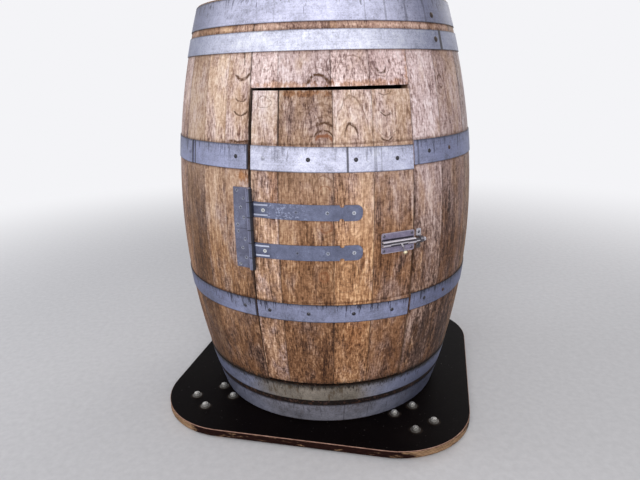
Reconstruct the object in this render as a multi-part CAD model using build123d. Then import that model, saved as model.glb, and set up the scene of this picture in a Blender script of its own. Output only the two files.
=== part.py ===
from build123d import *
import os
from math import cos, degrees, hypot, radians, sin

os.makedirs("parts", exist_ok=True)

# Driving dimensions, in millimetres and degrees.
# Azimuth runs anticlockwise seen from above, with 0 at -Y, which the middle of the door faces.
# Barrel heights are counted from the foot of the barrel, which stands on the base plate.

# Base plate and its feet; the plate's middle stands to the right of the barrel's axis and behind it
foot_margin = 12.5
foot_thickness = 5.0
foot_corner = 8.0
plate_margin = 96.0
plate_corner = 190.0
plate_thickness = 18.0
plate_arris = 1.2
plate_yaw = -14.5
plate_right = 7.0
plate_back = 18.5

# Bolts through the base plate, four in each corner
bolt_row_gap = 30.8
bolt_spacing_long = 76.0
bolt_spacing_short = 58.0
bolt_radius = 4.0
bolt_head_radius = 7.6
bolt_end_proud = 2.0
bolt_hole_clearance = 0.4
washer_radius = 12.0
washer_thickness = 2.0
nut_across_flats = 13.0
nut_crown_share = 1.12
nut_height = 6.5

# Barrel
barrel_height = 950.0
bilge_radius = 368.5
end_radius = 294.0
stave_thickness = 27.0
chime_bevel = 8.0
chime_bevel_height = 24.0

# Heads and the grooves that hold them
groove_inset = 38.0
groove_width = 8.0
groove_depth = 5.0
head_thickness = 22.0
head_clearance = 0.2
head_board_count = 6
head_board_gap = 0.2

# Staves beside the doorway, from the doorway outward, and the rest of the ring as shares of its arc
left_stave_angles = [9.7, 10.9, 13.7]
right_stave_angles = [13.2, 17.8]
back_stave_shares = [17.5, 15.0, 19.0, 16.0, 18.0, 14.5, 20.0, 16.5, 18.5, 15.5, 17.0, 19.5, 14.8, 17.5]

# Doorway and door
door_half_angle = 27.7
door_stave_shares = [10.0, 17.6, 12.9, 14.9]
lintel_height = 174.5
sill_lip = 0.5
door_least_gap = 1.2
door_top_gap = 6.5
door_bottom_gap = 5.0
door_lean = 0.5
batten_height = 70.0
batten_thickness = 20.0
batten_end_angle = 4.5

# Hoops: head and quarter hoops stand in from the barrel's ends, bilge hoops clear of the hinges
hoop_thickness = 1.6
hoop_gap = 0.3
hoop_lap_angle = 9.0
hoop_lap_lip = 0.25
hoop_lap_rivet_share = 0.75
head_hoop_inset = 2.8
head_hoop_width = 52.0
top_quarter_hoop_inset = 69.0
top_quarter_hoop_width = 38.5
bottom_quarter_hoop_inset = 70.5
bottom_quarter_hoop_width = 46.5
upper_bilge_hoop_clear = 36.7
upper_bilge_hoop_width = 49.5
lower_bilge_hoop_clear = 72.7
lower_bilge_hoop_width = 41.5
top_head_lap = 37.3
top_quarter_lap = 37.3
upper_bilge_lap_back = 36.8
lower_bilge_lap = 150.0
bottom_quarter_lap = 120.0
bottom_head_lap = 200.0
door_hoop_tilt = 1.3
door_hoop_drop = 0.6
hoop_cut_gap = 1.0

# Hinges
pin_radius = 3.0
pin_clearance = 0.05
knuckle_radius = 6.5
knuckle_gap = 0.4
hinge_inset = 5.2
hinge_rise = 20.0
leaf_height = 86.0
leaf_reach = 43.5
leaf_pair_gap = 0.6
sheet_thickness = 2.5
seat_gap = 0.3
strap_width = 32.0
strap_latch_gap = 38.3
strap_tip_share = 0.4
strap_notch_radius = 5.0
strap_notch_from_tip = 42.0
strap_droops = [1.6, 0.7]
rib_length = 32.0
rib_width = 3.4
rib_height = 1.8
rib_offset = 10.3
strap_screw_shares = [0.12, 0.42, 0.69, 0.92]
leaf_screw_reach_shares = [0.78, 0.41, 0.58, 0.42, 0.79]
leaf_screw_rise_shares = [0.42, 0.24, 0.01, -0.23, -0.42]

# Latch
latch_edge_gap = 2.8
latch_rise = -12.5
latch_plate_length = 78.0
latch_flange_height = 16.1
latch_plate_thickness = 1.5
latch_plate_corner = 4.0
latch_screw_inset = 6.0
latch_bolt_radius = 4.2
latch_running_gap = 0.3
latch_wall = 1.4
latch_loop_length = 17.0
latch_window_share = 0.75
latch_bolt_proud = 9.0
latch_bolt_nose = 1.5
knob_offset = 5.0
knob_turn = -45.0
knob_stem_radius = 2.2
knob_radius = 4.0
knob_length = 9.0
knob_reach = 27.0
keeper_width = 12.0
keeper_loop_width = 8.0
keeper_edge_inset = 10.2
keeper_wall = 1.4
keeper_clearance = 1.0
keeper_ear_length = 15.0
keeper_ear_thickness = 2.0

# Screws and rivets
screw_radius = 2.2
screw_clearance = 0.05
dome_radius = 4.4
dome_height = 2.0
latch_dome_radius = 3.3
latch_dome_height = 1.5
drive_slot_length_share = 1.2
drive_slot_width_share = 0.24
sunk_radius = 4.0
sunk_depth = 2.0
sunk_clearance = 0.1
hoop_screw_depth = 22.0
upper_hoop_screw_shares = [0.53, 0.57, 0.57, 0.56]
lower_hoop_screw_shares = [0.5, 0.5, 0.5, 0.5]
batten_screw_depth = 12.0
hinge_screw_depth = 20.0
latch_screw_depth = 18.0
rivet_radius = 3.0
rivet_head_radius = 6.0
rivet_head_height = 2.4
wide_hoop_width = 50.0
low_rivet_share = 0.235
hold_down_radius = 2.5
hold_down_head_radius = 5.0
hold_down_depth = 28.0
hold_down_count = 7

# Bung
bung_radius = 25.0
bung_clearance = 0.3
bung_taper = 2.0
bung_proud = 12.0

# Reach of a cutting shape past the faces that it cuts
cut_margin = 2.0

# Derived heights and angles of the barrel, its hinges and its hoops
barrel_foot = foot_thickness + plate_thickness
barrel_axis = Pos(-plate_right, -plate_back, 0)
lift = barrel_axis * Pos(0, 0, barrel_foot)
barrel_middle = barrel_height / 2
hinge_middle = barrel_middle + hinge_rise
hinge_half_height = leaf_height + leaf_pair_gap / 2
hinge_radius = bilge_radius + seat_gap + knuckle_radius
hinge_azimuth = degrees(hinge_inset / bilge_radius) - door_half_angle


def hoop_up_from(low, width, lap):
    """Lower edge, upper edge and lap azimuth of a hoop placed by its lower edge."""
    return low, low + width, lap


def hoop_down_from(high, width, lap):
    """The same for a hoop placed by its upper edge."""
    return high - width, high, lap


top_quarter_high = barrel_height - top_quarter_hoop_inset
upper_bilge_lap = 360 - door_half_angle - upper_bilge_lap_back
upper_bilge_low = hinge_middle + hinge_half_height + upper_bilge_hoop_clear
lower_bilge_high = hinge_middle - hinge_half_height - lower_bilge_hoop_clear
top_head_hoop = hoop_down_from(barrel_height - head_hoop_inset, head_hoop_width, top_head_lap)
top_quarter_hoop = hoop_down_from(top_quarter_high, top_quarter_hoop_width, top_quarter_lap)
upper_bilge_hoop = hoop_up_from(upper_bilge_low, upper_bilge_hoop_width, upper_bilge_lap)
lower_bilge_hoop = hoop_down_from(lower_bilge_high, lower_bilge_hoop_width, lower_bilge_lap)
bottom_quarter_hoop = hoop_up_from(bottom_quarter_hoop_inset, bottom_quarter_hoop_width, bottom_quarter_lap)
bottom_head_hoop = hoop_up_from(head_hoop_inset, head_hoop_width, bottom_head_lap)

# Derived sizes of the doorway and door
doorway_low = bottom_quarter_hoop[1] + sill_lip
doorway_high = barrel_height - lintel_height
door_low = doorway_low + door_bottom_gap
door_high = doorway_high - door_top_gap
door_middle = (door_low + door_high) / 2
door_side_gap = door_least_gap + (door_high - door_low) / 2 * sin(radians(door_lean))
door_arc = bilge_radius * radians(2 * door_half_angle)

# Derived sizes of the latch, and of the straps, which stop short of it
latch_plate_height = 2 * (latch_bolt_radius + latch_running_gap + latch_wall + latch_flange_height)
latch_edge_inset = latch_plate_length / 2 + latch_edge_gap
latch_azimuth = door_half_angle - degrees(latch_edge_inset / bilge_radius)
latch_middle = barrel_middle + latch_rise
latch_window_half = latch_plate_length / 2 - latch_loop_length
keeper_offset = latch_edge_inset + keeper_edge_inset
keeper_half_height = latch_bolt_radius + keeper_clearance + keeper_wall
latch_bolt_reach = keeper_offset + keeper_loop_width / 2 + latch_bolt_proud
strap_length = door_arc - hinge_inset - latch_edge_inset - latch_plate_length / 2 - strap_latch_gap
strap_tip_radius = strap_tip_share * strap_width

# Derived sizes of the base
plate_side = 2 * (end_radius + plate_margin)
bolt_group_distance = end_radius + bolt_row_gap + bolt_spacing_long / 2
foot_length = bolt_spacing_long + 2 * foot_margin
foot_width = bolt_spacing_short + 2 * foot_margin


def save(name, shape):
    export_step(shape, "parts/" + name + ".step")


def group(pieces):
    """Separate solids kept together, such as a set of like screws."""
    return Compound([solid for piece in pieces for solid in piece.solids()])


# The barrel's shape

def wood_radius(z):
    """Outer radius of the wood at a height: a parabola, fullest at the bilge."""
    reach = (2 * z - barrel_height) / barrel_height
    return bilge_radius - (bilge_radius - end_radius) * reach ** 2


def wood_slope(z):
    return -4 * (bilge_radius - end_radius) * (2 * z - barrel_height) / barrel_height ** 2


def wood_curve(low, high, offset):
    """Upright outline of the wood between two heights, moved outward by an offset."""
    handle = wood_radius(low) + wood_slope(low) * (high - low) / 2
    return Bezier(
        (wood_radius(low) + offset, 0, low),
        (handle + offset, 0, (low + high) / 2),
        (wood_radius(high) + offset, 0, high),
    )


def swept(edges, start, end):
    """Turns a closed outline about the barrel's axis from one azimuth to another."""
    return Rot(0, 0, start - 90) * revolve(make_face(edges), axis=Axis.Z, revolution_arc=end - start)


def shell(low, high, inner, outer, start, end):
    """Piece of the barrel's skin between two heights, two offsets and two azimuths."""
    outside = wood_curve(low, high, outer)
    inside = wood_curve(low, high, inner)
    edges = [outside, inside, Line(outside @ 0, inside @ 0), Line(outside @ 1, inside @ 1)]
    return swept(edges, start, end)


def surface_place(azimuth, z, offset=0.0):
    """Place on the wood: X along the hoops, Y up, Z straight out of the surface."""
    angle = radians(azimuth)
    slope = wood_slope(z)
    radius = wood_radius(z)
    tilt = hypot(1, slope)
    normal = Vector(sin(angle) / tilt, -cos(angle) / tilt, -slope / tilt)
    foot = Vector(radius * sin(angle), -radius * cos(angle), z)
    along = Vector(cos(angle), sin(angle), 0)
    return Plane(origin=foot + normal * offset, x_dir=along, z_dir=normal).location


def radial_place(azimuth, z):
    """Place on the wood with Z level, straight away from the barrel's axis."""
    angle = radians(azimuth)
    outward = Vector(sin(angle), -cos(angle), 0)
    along = Vector(cos(angle), sin(angle), 0)
    foot = outward * wood_radius(z) + Vector(0, 0, z)
    return Plane(origin=foot, x_dir=along, z_dir=outward).location


def radial_plane(azimuth, z, lean):
    """Upright plane through the barrel's axis, tilted clockwise by a lean; Z points to more azimuth."""
    angle = radians(azimuth)
    outward = Vector(sin(angle), -cos(angle), 0)
    along = Vector(cos(angle), sin(angle), 0)
    normal = along * cos(radians(lean)) - Vector(0, 0, sin(radians(lean)))
    return Plane(origin=(0, 0, z), x_dir=outward, z_dir=normal)


def arc_angle(length, radius):
    return degrees(length / radius)


# Screws and rivets, each with its head's seat at Z = 0 and its point below

def dome(radius, height):
    sphere_radius = (radius ** 2 + height ** 2) / (2 * height)
    ball = Pos(0, 0, height - sphere_radius) * Sphere(sphere_radius)
    return ball & Pos(0, 0, height / 2) * Box(2 * radius, 2 * radius, height)


def shank(radius, depth):
    return Pos(0, 0, -depth / 2) * Cylinder(radius, depth)


def drive_slot(radius, depth):
    """Cross-shaped recess for a screwdriver, cut down from Z = 0."""
    bar = Box(drive_slot_length_share * radius, drive_slot_width_share * radius, 2 * depth)
    return bar + Rot(0, 0, 90) * bar


def dome_screw(depth, radius, height):
    head = dome(radius, height)
    slot = Pos(0, 0, height) * drive_slot(radius, height / 2)
    return head + shank(screw_radius, depth) - slot


def sunk_head(clearance):
    radius = sunk_radius + clearance
    height = sunk_depth + clearance
    return Pos(0, 0, -height / 2) * Cone(screw_radius + clearance, radius, height)


def sunk_screw(depth):
    slot = drive_slot(sunk_radius, sunk_depth / 2)
    return sunk_head(0) + shank(screw_radius, depth) - slot


def sunk_hole(depth):
    rod = shank(screw_radius + screw_clearance, depth + 2 * cut_margin)
    return sunk_head(sunk_clearance) + Pos(0, 0, cut_margin) * rod


# Places of the fasteners that go into the wood, by azimuth and height

leaf_places = []
strap_places = []
door_hoop_places = []
frame_hoop_places = []


def door_hoop_rise(azimuth):
    """How far a hoop piece on the sagged door stands below the frame's hoop at this azimuth."""
    across = bilge_radius * radians(azimuth + door_half_angle)
    return -door_hoop_drop - across * sin(radians(door_hoop_tilt))


def strap_middle(index):
    side = 1 if index == 0 else -1
    return hinge_middle + side * (leaf_height + leaf_pair_gap) / 2


def strap_point(index, reach):
    """Azimuth and height of a point on a strap's drooping middle line."""
    azimuth = hinge_azimuth + arc_angle(reach, bilge_radius)
    return azimuth, strap_middle(index) - reach * sin(radians(strap_droops[index]))


def door_stave_edges():
    """Azimuths of the doorway's two jambs and of the joints between the door's staves."""
    edges = [-door_half_angle]
    for share in door_stave_shares:
        edges.append(edges[-1] + 2 * door_half_angle * share / sum(door_stave_shares))
    return edges


for index in range(2):
    for reach_share, rise_share in zip(leaf_screw_reach_shares, leaf_screw_rise_shares):
        azimuth = hinge_azimuth - arc_angle(reach_share * leaf_reach, bilge_radius)
        leaf_places.append((azimuth, strap_middle(index) + rise_share * leaf_height))
    for share in strap_screw_shares:
        strap_places.append(strap_point(index, share * strap_length))

door_edges = door_stave_edges()
for hoop, screw_shares in (
    (upper_bilge_hoop, upper_hoop_screw_shares),
    (lower_bilge_hoop, lower_hoop_screw_shares),
):
    middle = (hoop[0] + hoop[1]) / 2
    for start, end, share in zip(door_edges, door_edges[1:], screw_shares):
        azimuth = start + share * (end - start)
        door_hoop_places.append((azimuth, middle + door_hoop_rise(azimuth)))
    frame_hoop_places.append((-door_half_angle - left_stave_angles[0] / 2, middle))
    frame_hoop_places.append((door_half_angle + right_stave_angles[0] / 2, middle))
    frame_hoop_places.append((door_half_angle + right_stave_angles[0] + right_stave_angles[1] / 4, middle))

keeper_azimuth = latch_azimuth + degrees(keeper_offset / bilge_radius)
keeper_place = surface_place(keeper_azimuth, latch_middle)
keeper_screw_rise = keeper_half_height + keeper_ear_length / 2
keeper_spots = [(0, keeper_screw_rise), (0, -keeper_screw_rise)]

latch_screw_x = latch_plate_length / 2 - latch_screw_inset
latch_screw_y = latch_plate_height / 2 - latch_screw_inset
latch_flat = wood_radius(latch_middle)
latch_place = surface_place(latch_azimuth, latch_middle)
latch_corners = [(x, y) for x in (latch_screw_x, -latch_screw_x) for y in (latch_screw_y, -latch_screw_y)]


def flat_pilots(place, spots):
    """Holes in the wood for the screws of a flat fitting, square to it."""
    radius = screw_radius + screw_clearance
    hole = Pos(0, 0, cut_margin) * shank(radius, latch_screw_depth + cut_margin)
    return [place * Pos(x, y, 0) * hole for x, y in spots]


def pilots(places, depth):
    """Holes in the wood for screws driven square to its surface."""
    radius = screw_radius + screw_clearance
    hole = shank(radius, depth + 2 * cut_margin)
    return [(a, z, surface_place(a, z, cut_margin) * hole) for a, z in places]


frame_pilots = [
    *pilots(leaf_places, hinge_screw_depth),
    *[(keeper_azimuth, latch_middle, hole) for hole in flat_pilots(keeper_place, keeper_spots)],
    *pilots(frame_hoop_places, hoop_screw_depth),
]
door_pilots = [
    *pilots(strap_places, hinge_screw_depth),
    *pilots(door_hoop_places, stave_thickness + batten_screw_depth),
]


def drilled(solid, holes, start, end):
    """Takes out of a stave the screw holes that reach into its arc."""
    margin = arc_angle(2 * screw_radius, bilge_radius)
    for azimuth, z, hole in holes:
        if start - margin < azimuth < end + margin:
            solid = solid - hole
    return solid


# Staves

def groove_edges(low, z_top):
    """Inside outline of the wood round one head groove, down from z_top to the groove's lower lip."""
    high = low + groove_width
    floor = wood_radius(low + groove_width / 2) - stave_thickness + groove_depth
    above = wood_curve(high, z_top, -stave_thickness)
    lower_lip = (wood_radius(low) - stave_thickness, 0, low)
    return [
        above,
        Line(above @ 0, (floor, 0, high)),
        Line((floor, 0, high), (floor, 0, low)),
        Line((floor, 0, low), lower_lip),
    ]


top_groove = barrel_height - groove_inset - groove_width
bottom_groove = groove_inset


def stave(low, high, start, end):
    """Stave or cut length of one, with the head grooves and end bevels that fall in its height."""
    outside = wood_curve(low, high, 0)
    edges = [outside]
    inner_top = high
    inner_low = low
    top_corner = outside @ 1
    bottom_corner = outside @ 0
    if high == barrel_height:
        inner_top = high - chime_bevel_height
        bevel_lip = (wood_radius(high) - stave_thickness + chime_bevel, 0, high)
        edges.append(Line(top_corner, bevel_lip))
        top_corner = Vector(*bevel_lip)
    if low == 0:
        inner_low = chime_bevel_height
        bevel_lip = (wood_radius(low) - stave_thickness + chime_bevel, 0, low)
        edges.append(Line(bottom_corner, bevel_lip))
        bottom_corner = Vector(*bevel_lip)
    edges.append(Line(top_corner, (wood_radius(inner_top) - stave_thickness, 0, inner_top)))
    edges.append(Line(bottom_corner, (wood_radius(inner_low) - stave_thickness, 0, inner_low)))
    for groove in (top_groove, bottom_groove):
        if inner_low < groove and groove + groove_width < inner_top:
            edges += groove_edges(groove, inner_top)
            inner_top = groove
    edges.append(wood_curve(inner_low, inner_top, -stave_thickness))
    return swept(edges, start, end)


def frame_joints():
    """Azimuths of the joints round the frame, from the doorway's right jamb to its left one."""
    joints = [door_half_angle]
    for angle in right_stave_angles:
        joints.append(joints[-1] + angle)
    left_end = 360 - door_half_angle - sum(left_stave_angles)
    back_arc = left_end - joints[-1]
    back_start = joints[-1]
    total = 0
    for share in back_stave_shares:
        total += share
        joints.append(back_start + back_arc * total / sum(back_stave_shares))
    for angle in reversed(left_stave_angles):
        joints.append(joints[-1] + angle)
    return joints


joints = frame_joints()
stave_spans = list(zip(joints, joints[1:]))
back_spans = stave_spans[len(right_stave_angles):-len(left_stave_angles)]
bung_span = max(back_spans, key=lambda span: span[1] - span[0])
bung_azimuth = sum(bung_span) / 2
bung_height = barrel_middle
hold_down_circle = end_radius - (stave_thickness - chime_bevel) / 2
hold_down_spans = [stave_spans[i * len(stave_spans) // hold_down_count] for i in range(hold_down_count)]


def hold_down_place(span):
    angle = radians(sum(span) / 2)
    return Pos(hold_down_circle * sin(angle), -hold_down_circle * cos(angle), 0)


def build_staves():
    for number, (start, end) in enumerate(stave_spans, 1):
        solid = stave(0, barrel_height, start, end)
        for holes_shift in (0, 360):
            shifted = [(a + holes_shift, z, hole) for a, z, hole in frame_pilots]
            solid = drilled(solid, shifted, start, end)
        if (start, end) in hold_down_spans:
            hole = Pos(0, 0, hold_down_depth) * shank(hold_down_radius + screw_clearance, 2 * hold_down_depth)
            solid = solid - hold_down_place((start, end)) * hole
        if (start, end) == bung_span:
            place = surface_place(bung_azimuth, bung_height)
            solid = solid - place * Cylinder(bung_radius, 4 * stave_thickness)
        save(f"stave_{number:02d}", lift * solid)
    cut_spans = list(zip(door_edges, door_edges[1:]))
    save("lintel_staves", lift * group(stave(doorway_high, barrel_height, *span) for span in cut_spans))
    save("sill_staves", lift * group(stave(0, doorway_low, *span) for span in cut_spans))


# Door

def door_edge_plane(azimuth):
    return radial_plane(azimuth, door_middle, door_lean)


door_side_angle = arc_angle(door_side_gap, bilge_radius)
left_door_edge = door_edge_plane(-door_half_angle + door_side_angle)
right_door_edge = door_edge_plane(door_half_angle - door_side_angle)


def level_plane(z, tilt, azimuth=0.0):
    """Level plane that drops to the right of a given azimuth by a tilt; Z points up."""
    angle = radians(azimuth)
    pivot = Vector(bilge_radius * sin(angle), -bilge_radius * cos(angle), z)
    normal = Vector(sin(radians(tilt)), 0, cos(radians(tilt)))
    return Plane(origin=pivot, x_dir=(cos(radians(tilt)), 0, -sin(radians(tilt))), z_dir=normal)


def above(solid, plane):
    return split(solid, bisect_by=plane, keep=Keep.TOP)


def below(solid, plane):
    return split(solid, bisect_by=plane, keep=Keep.BOTTOM)


def within_door_edges(solid):
    return below(above(solid, left_door_edge), right_door_edge)


def build_door_staves():
    spare_angle = arc_angle(2 * door_side_gap + cut_margin, bilge_radius)
    spare_height = bilge_radius * sin(radians(door_lean)) + cut_margin
    cuts = [left_door_edge, *[door_edge_plane(azimuth) for azimuth in door_edges[1:-1]], right_door_edge]
    spans = list(zip(door_edges, door_edges[1:]))
    for number, (start, end) in enumerate(spans, 1):
        blank = shell(
            door_low - spare_height,
            door_high + spare_height,
            -stave_thickness,
            0,
            start - spare_angle,
            end + spare_angle,
        )
        blank = below(above(blank, cuts[number - 1]), cuts[number])
        blank = below(above(blank, level_plane(door_low, door_lean)), level_plane(door_high, door_lean))
        blank = drilled(blank, door_pilots, start, end)
        for hole in flat_pilots(latch_place, latch_corners):
            blank = blank - hole
        save(f"door_stave_{number}", lift * blank)


def build_battens():
    battens = []
    outer = -stave_thickness - seat_gap
    for low, high, lap in (upper_bilge_hoop, lower_bilge_hoop):
        middle = (low + high) / 2
        batten = shell(
            middle - batten_height / 2,
            middle + batten_height / 2,
            outer - batten_thickness,
            outer,
            -door_half_angle + batten_end_angle,
            door_half_angle - batten_end_angle,
        )
        battens.append(drilled(batten, door_pilots, -door_half_angle, door_half_angle))
    save("door_battens", lift * group(battens))


# Hoops

def hoop_rivet_place(hoop):
    """Place of the rivet through the lap of a hoop, below the middle where the hoop is wide."""
    low, high, lap = hoop
    drop = low_rivet_share * (high - low) if high - low > wide_hoop_width else 0
    return surface_place(lap + hoop_lap_rivet_share * hoop_lap_angle, (low + high) / 2 - drop)


def hoop_band(low, high, start, end, layers):
    return shell(low, high, hoop_gap, hoop_gap + layers * hoop_thickness, start, end)


def hoop_lap(low, high, lap):
    """Doubled length of a hoop, whose outer layer rises straight off the inner one at the lap's start."""
    lift_off = surface_place(lap, (low + high) / 2, hoop_gap + hoop_thickness + hoop_lap_lip)
    return below(hoop_band(low, high, lap, lap + hoop_lap_angle, 2), Plane(lift_off))


def riveted(band, hoop):
    return band - hoop_rivet_place(hoop) * Cylinder(rivet_radius + screw_clearance, 8 * hoop_thickness)


def ring_hoop(hoop):
    """Closed hoop: a single band whose ends lap over each other."""
    low, high, lap = hoop
    band = hoop_lap(low, high, lap) + hoop_band(low, high, lap + hoop_lap_angle, lap + 360, 1)
    return riveted(band, hoop)


def hoop_screw_holes(places, low, high):
    radius = screw_radius + screw_clearance
    return [surface_place(a, z) * Cylinder(radius, 8 * hoop_thickness) for a, z in places if low < z < high]


def frame_hoop(hoop):
    """Hoop that is cut away over the doorway."""
    low, high, lap = hoop
    cut = arc_angle(hoop_cut_gap, bilge_radius)
    start = door_half_angle + cut
    end = 360 - door_half_angle - cut
    band = hoop_lap(low, high, lap)
    band = band + hoop_band(low, high, start, lap, 1) + hoop_band(low, high, lap + hoop_lap_angle, end, 1)
    for hole in hoop_screw_holes(frame_hoop_places, low, high):
        band = band - hole
    return riveted(band, hoop)


def door_hoop(hoop):
    """Length of hoop left on the door, which has sagged with it."""
    low, high, lap = hoop
    drop = cut_margin - door_hoop_rise(door_half_angle)
    band = hoop_band(low - drop, high + cut_margin, -door_half_angle, door_half_angle, 1)
    band = above(band, level_plane(low - door_hoop_drop, door_hoop_tilt, -door_half_angle))
    band = below(band, level_plane(high - door_hoop_drop, door_hoop_tilt, -door_half_angle))
    band = within_door_edges(band)
    for hole in hoop_screw_holes(door_hoop_places, low - drop, high):
        band = band - hole
    return band


def build_hoops():
    ring_hoops = {
        "top_head_hoop": top_head_hoop,
        "top_quarter_hoop": top_quarter_hoop,
        "bottom_quarter_hoop": bottom_quarter_hoop,
        "bottom_head_hoop": bottom_head_hoop,
    }
    for name, hoop in ring_hoops.items():
        save(name, lift * ring_hoop(hoop))
    cut_hoops = {"upper_bilge_hoop": upper_bilge_hoop, "lower_bilge_hoop": lower_bilge_hoop}
    for name, hoop in cut_hoops.items():
        save(name, lift * frame_hoop(hoop))
    save("upper_door_hoop", lift * door_hoop(upper_bilge_hoop))
    save("lower_door_hoop", lift * door_hoop(lower_bilge_hoop))
    outside = hoop_gap + 2 * hoop_thickness
    rivet = dome(rivet_head_radius, rivet_head_height) + shank(rivet_radius, 2 * hoop_thickness)
    hoops = [*ring_hoops.values(), *cut_hoops.values()]
    rivets = [hoop_rivet_place(hoop) * Pos(0, 0, outside) * rivet for hoop in hoops]
    save("hoop_rivets", lift * group(rivets))
    seat = hoop_gap + hoop_thickness
    frame_screw = dome_screw(hoop_screw_depth, dome_radius, dome_height)
    frame_screws = [surface_place(a, z, seat) * frame_screw for a, z in frame_hoop_places]
    save("frame_hoop_screws", lift * group(frame_screws))
    door_screw = dome_screw(stave_thickness + batten_screw_depth, dome_radius, dome_height)
    door_screws = [surface_place(a, z, seat) * door_screw for a, z in door_hoop_places]
    save("door_hoop_screws", lift * group(door_screws))


# Heads

def head(groove, end_side):
    """Round head of boards; its thinned rim sits in the staves' groove."""
    middle = groove + groove_width / 2
    narrow_end = middle + end_side * head_thickness / 2
    body_radius = wood_radius(narrow_end) - stave_thickness - head_clearance
    rim_radius = wood_radius(middle) - stave_thickness + groove_depth - head_clearance
    body = Cylinder(body_radius, head_thickness)
    rim = Cylinder(rim_radius, groove_width - 2 * head_clearance)
    disc = Pos(0, 0, middle) * (body + rim)
    board = 2 * rim_radius / head_board_count
    for index in range(1, head_board_count):
        x = -rim_radius + index * board
        disc = disc - Pos(x, 0, middle) * Box(head_board_gap, 2 * rim_radius, 2 * head_thickness)
    return disc


def build_heads():
    save("top_head", lift * head(top_groove, 1))
    save("bottom_head", lift * head(bottom_groove, -1))


# Hinges

hinge_angle = radians(hinge_azimuth)
hinge_x = hinge_radius * sin(hinge_angle)
hinge_y = -hinge_radius * cos(hinge_angle)


def upright(radius, low, high):
    """Upright cylinder on the hinges' axis."""
    return Pos(hinge_x, hinge_y, (low + high) / 2) * Cylinder(radius, high - low)


def hinge_heights(index):
    """Ends of a leaf and, between them, of the strap's knuckle."""
    middle = strap_middle(index)
    return (
        middle - leaf_height / 2,
        middle - strap_width / 2,
        middle + strap_width / 2,
        middle + leaf_height / 2,
    )


def pin_hole(index):
    low, strap_low, strap_high, high = hinge_heights(index)
    return upright(pin_radius + pin_clearance, low - cut_margin, high + cut_margin)


def knuckle_root(low, high, side):
    """Curl of a sheet that carries its knuckle out from the wood, to the pin's left (-1) or right (1)."""
    inside = wood_curve(low, high, seat_gap + sheet_thickness / 2)
    face_low = (hinge_radius, 0, low)
    face_high = (hinge_radius, 0, high)
    edges = [inside, Line(inside @ 0, face_low), Line(face_low, face_high), Line(face_high, inside @ 1)]
    foot = hinge_azimuth + side * arc_angle(knuckle_radius, hinge_radius)
    return swept(edges, min(foot, hinge_azimuth), max(foot, hinge_azimuth))


def hinge_leaf(index):
    low, strap_low, strap_high, high = hinge_heights(index)
    start = hinge_azimuth - arc_angle(leaf_reach, bilge_radius)
    leaf = shell(low, high, seat_gap, seat_gap + sheet_thickness, start, hinge_azimuth)
    for knuckle_low, knuckle_high in ((low, strap_low - knuckle_gap), (strap_high + knuckle_gap, high)):
        leaf = leaf + knuckle_root(knuckle_low, knuckle_high, -1)
        leaf = leaf + upright(knuckle_radius, knuckle_low, knuckle_high)
    leaf = leaf - upright(knuckle_radius + 2 * knuckle_gap, strap_low - knuckle_gap, strap_high + knuckle_gap)
    leaf = leaf - pin_hole(index)
    hole = sunk_hole(2 * sheet_thickness)
    for azimuth, z in leaf_places:
        if low < z < high:
            leaf = leaf - surface_place(azimuth, z, seat_gap + sheet_thickness) * hole
    return leaf


def strap_outline():
    """Flat outline of a strap with its waist and rounded tip; X runs from the pin to the tip."""
    body = Pos(strap_length / 2, 0) * Rectangle(strap_length, strap_width)
    tip_corners = body.vertices().sort_by(Axis.X)[-2:]
    body = fillet(tip_corners, radius=strap_tip_radius)
    for side in (1, -1):
        notch = Pos(strap_length - strap_notch_from_tip, side * strap_width / 2) * Circle(strap_notch_radius)
        body = body - notch
    return body


def strap_ribs(index):
    """Two pressed ribs that stiffen the strap's root."""
    middle = strap_middle(index)
    start = hinge_azimuth + arc_angle(knuckle_radius, bilge_radius)
    end = start + arc_angle(rib_length, bilge_radius)
    ribs = []
    for side in (1, -1):
        centre = middle + side * rib_offset
        low = centre - rib_width / 2
        inner = seat_gap + sheet_thickness / 2
        outer = seat_gap + sheet_thickness + rib_height
        ribs.append(shell(low, low + rib_width, inner, outer, start, end))
    return ribs


def hinge_strap(index):
    middle = strap_middle(index)
    droop = strap_droops[index]
    reach_angle = arc_angle(strap_length, bilge_radius)
    half_blank = strap_width / 2 + strap_length * sin(radians(droop)) + cut_margin
    blank = shell(
        middle - half_blank,
        middle + half_blank,
        seat_gap,
        seat_gap + sheet_thickness,
        hinge_azimuth,
        hinge_azimuth + reach_angle + arc_angle(cut_margin, bilge_radius),
    )
    aim = radial_place(hinge_azimuth + reach_angle / 2, middle)
    chord = 2 * bilge_radius * sin(radians(reach_angle / 2))
    outline = Pos(-chord / 2, 0) * Rot(0, 0, -droop) * scale(strap_outline(), by=(chord / strap_length, 1, 1))
    depth = bilge_radius
    cutter = aim * Pos(0, 0, -depth / 2) * extrude(outline, amount=depth)
    low, strap_low, strap_high, high = hinge_heights(index)
    strap = (blank & cutter) + knuckle_root(strap_low, strap_high, 1)
    strap = strap + upright(knuckle_radius, strap_low, strap_high)
    for rib in strap_ribs(index):
        strap = strap + rib
    strap = strap - pin_hole(index)
    hole = sunk_hole(2 * sheet_thickness)
    for share in strap_screw_shares:
        azimuth, z = strap_point(index, share * strap_length)
        strap = strap - surface_place(azimuth, z, seat_gap + sheet_thickness) * hole
    return strap


def hinge_pin(index):
    low, strap_low, strap_high, high = hinge_heights(index)
    return upright(pin_radius, low, high)


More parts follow.
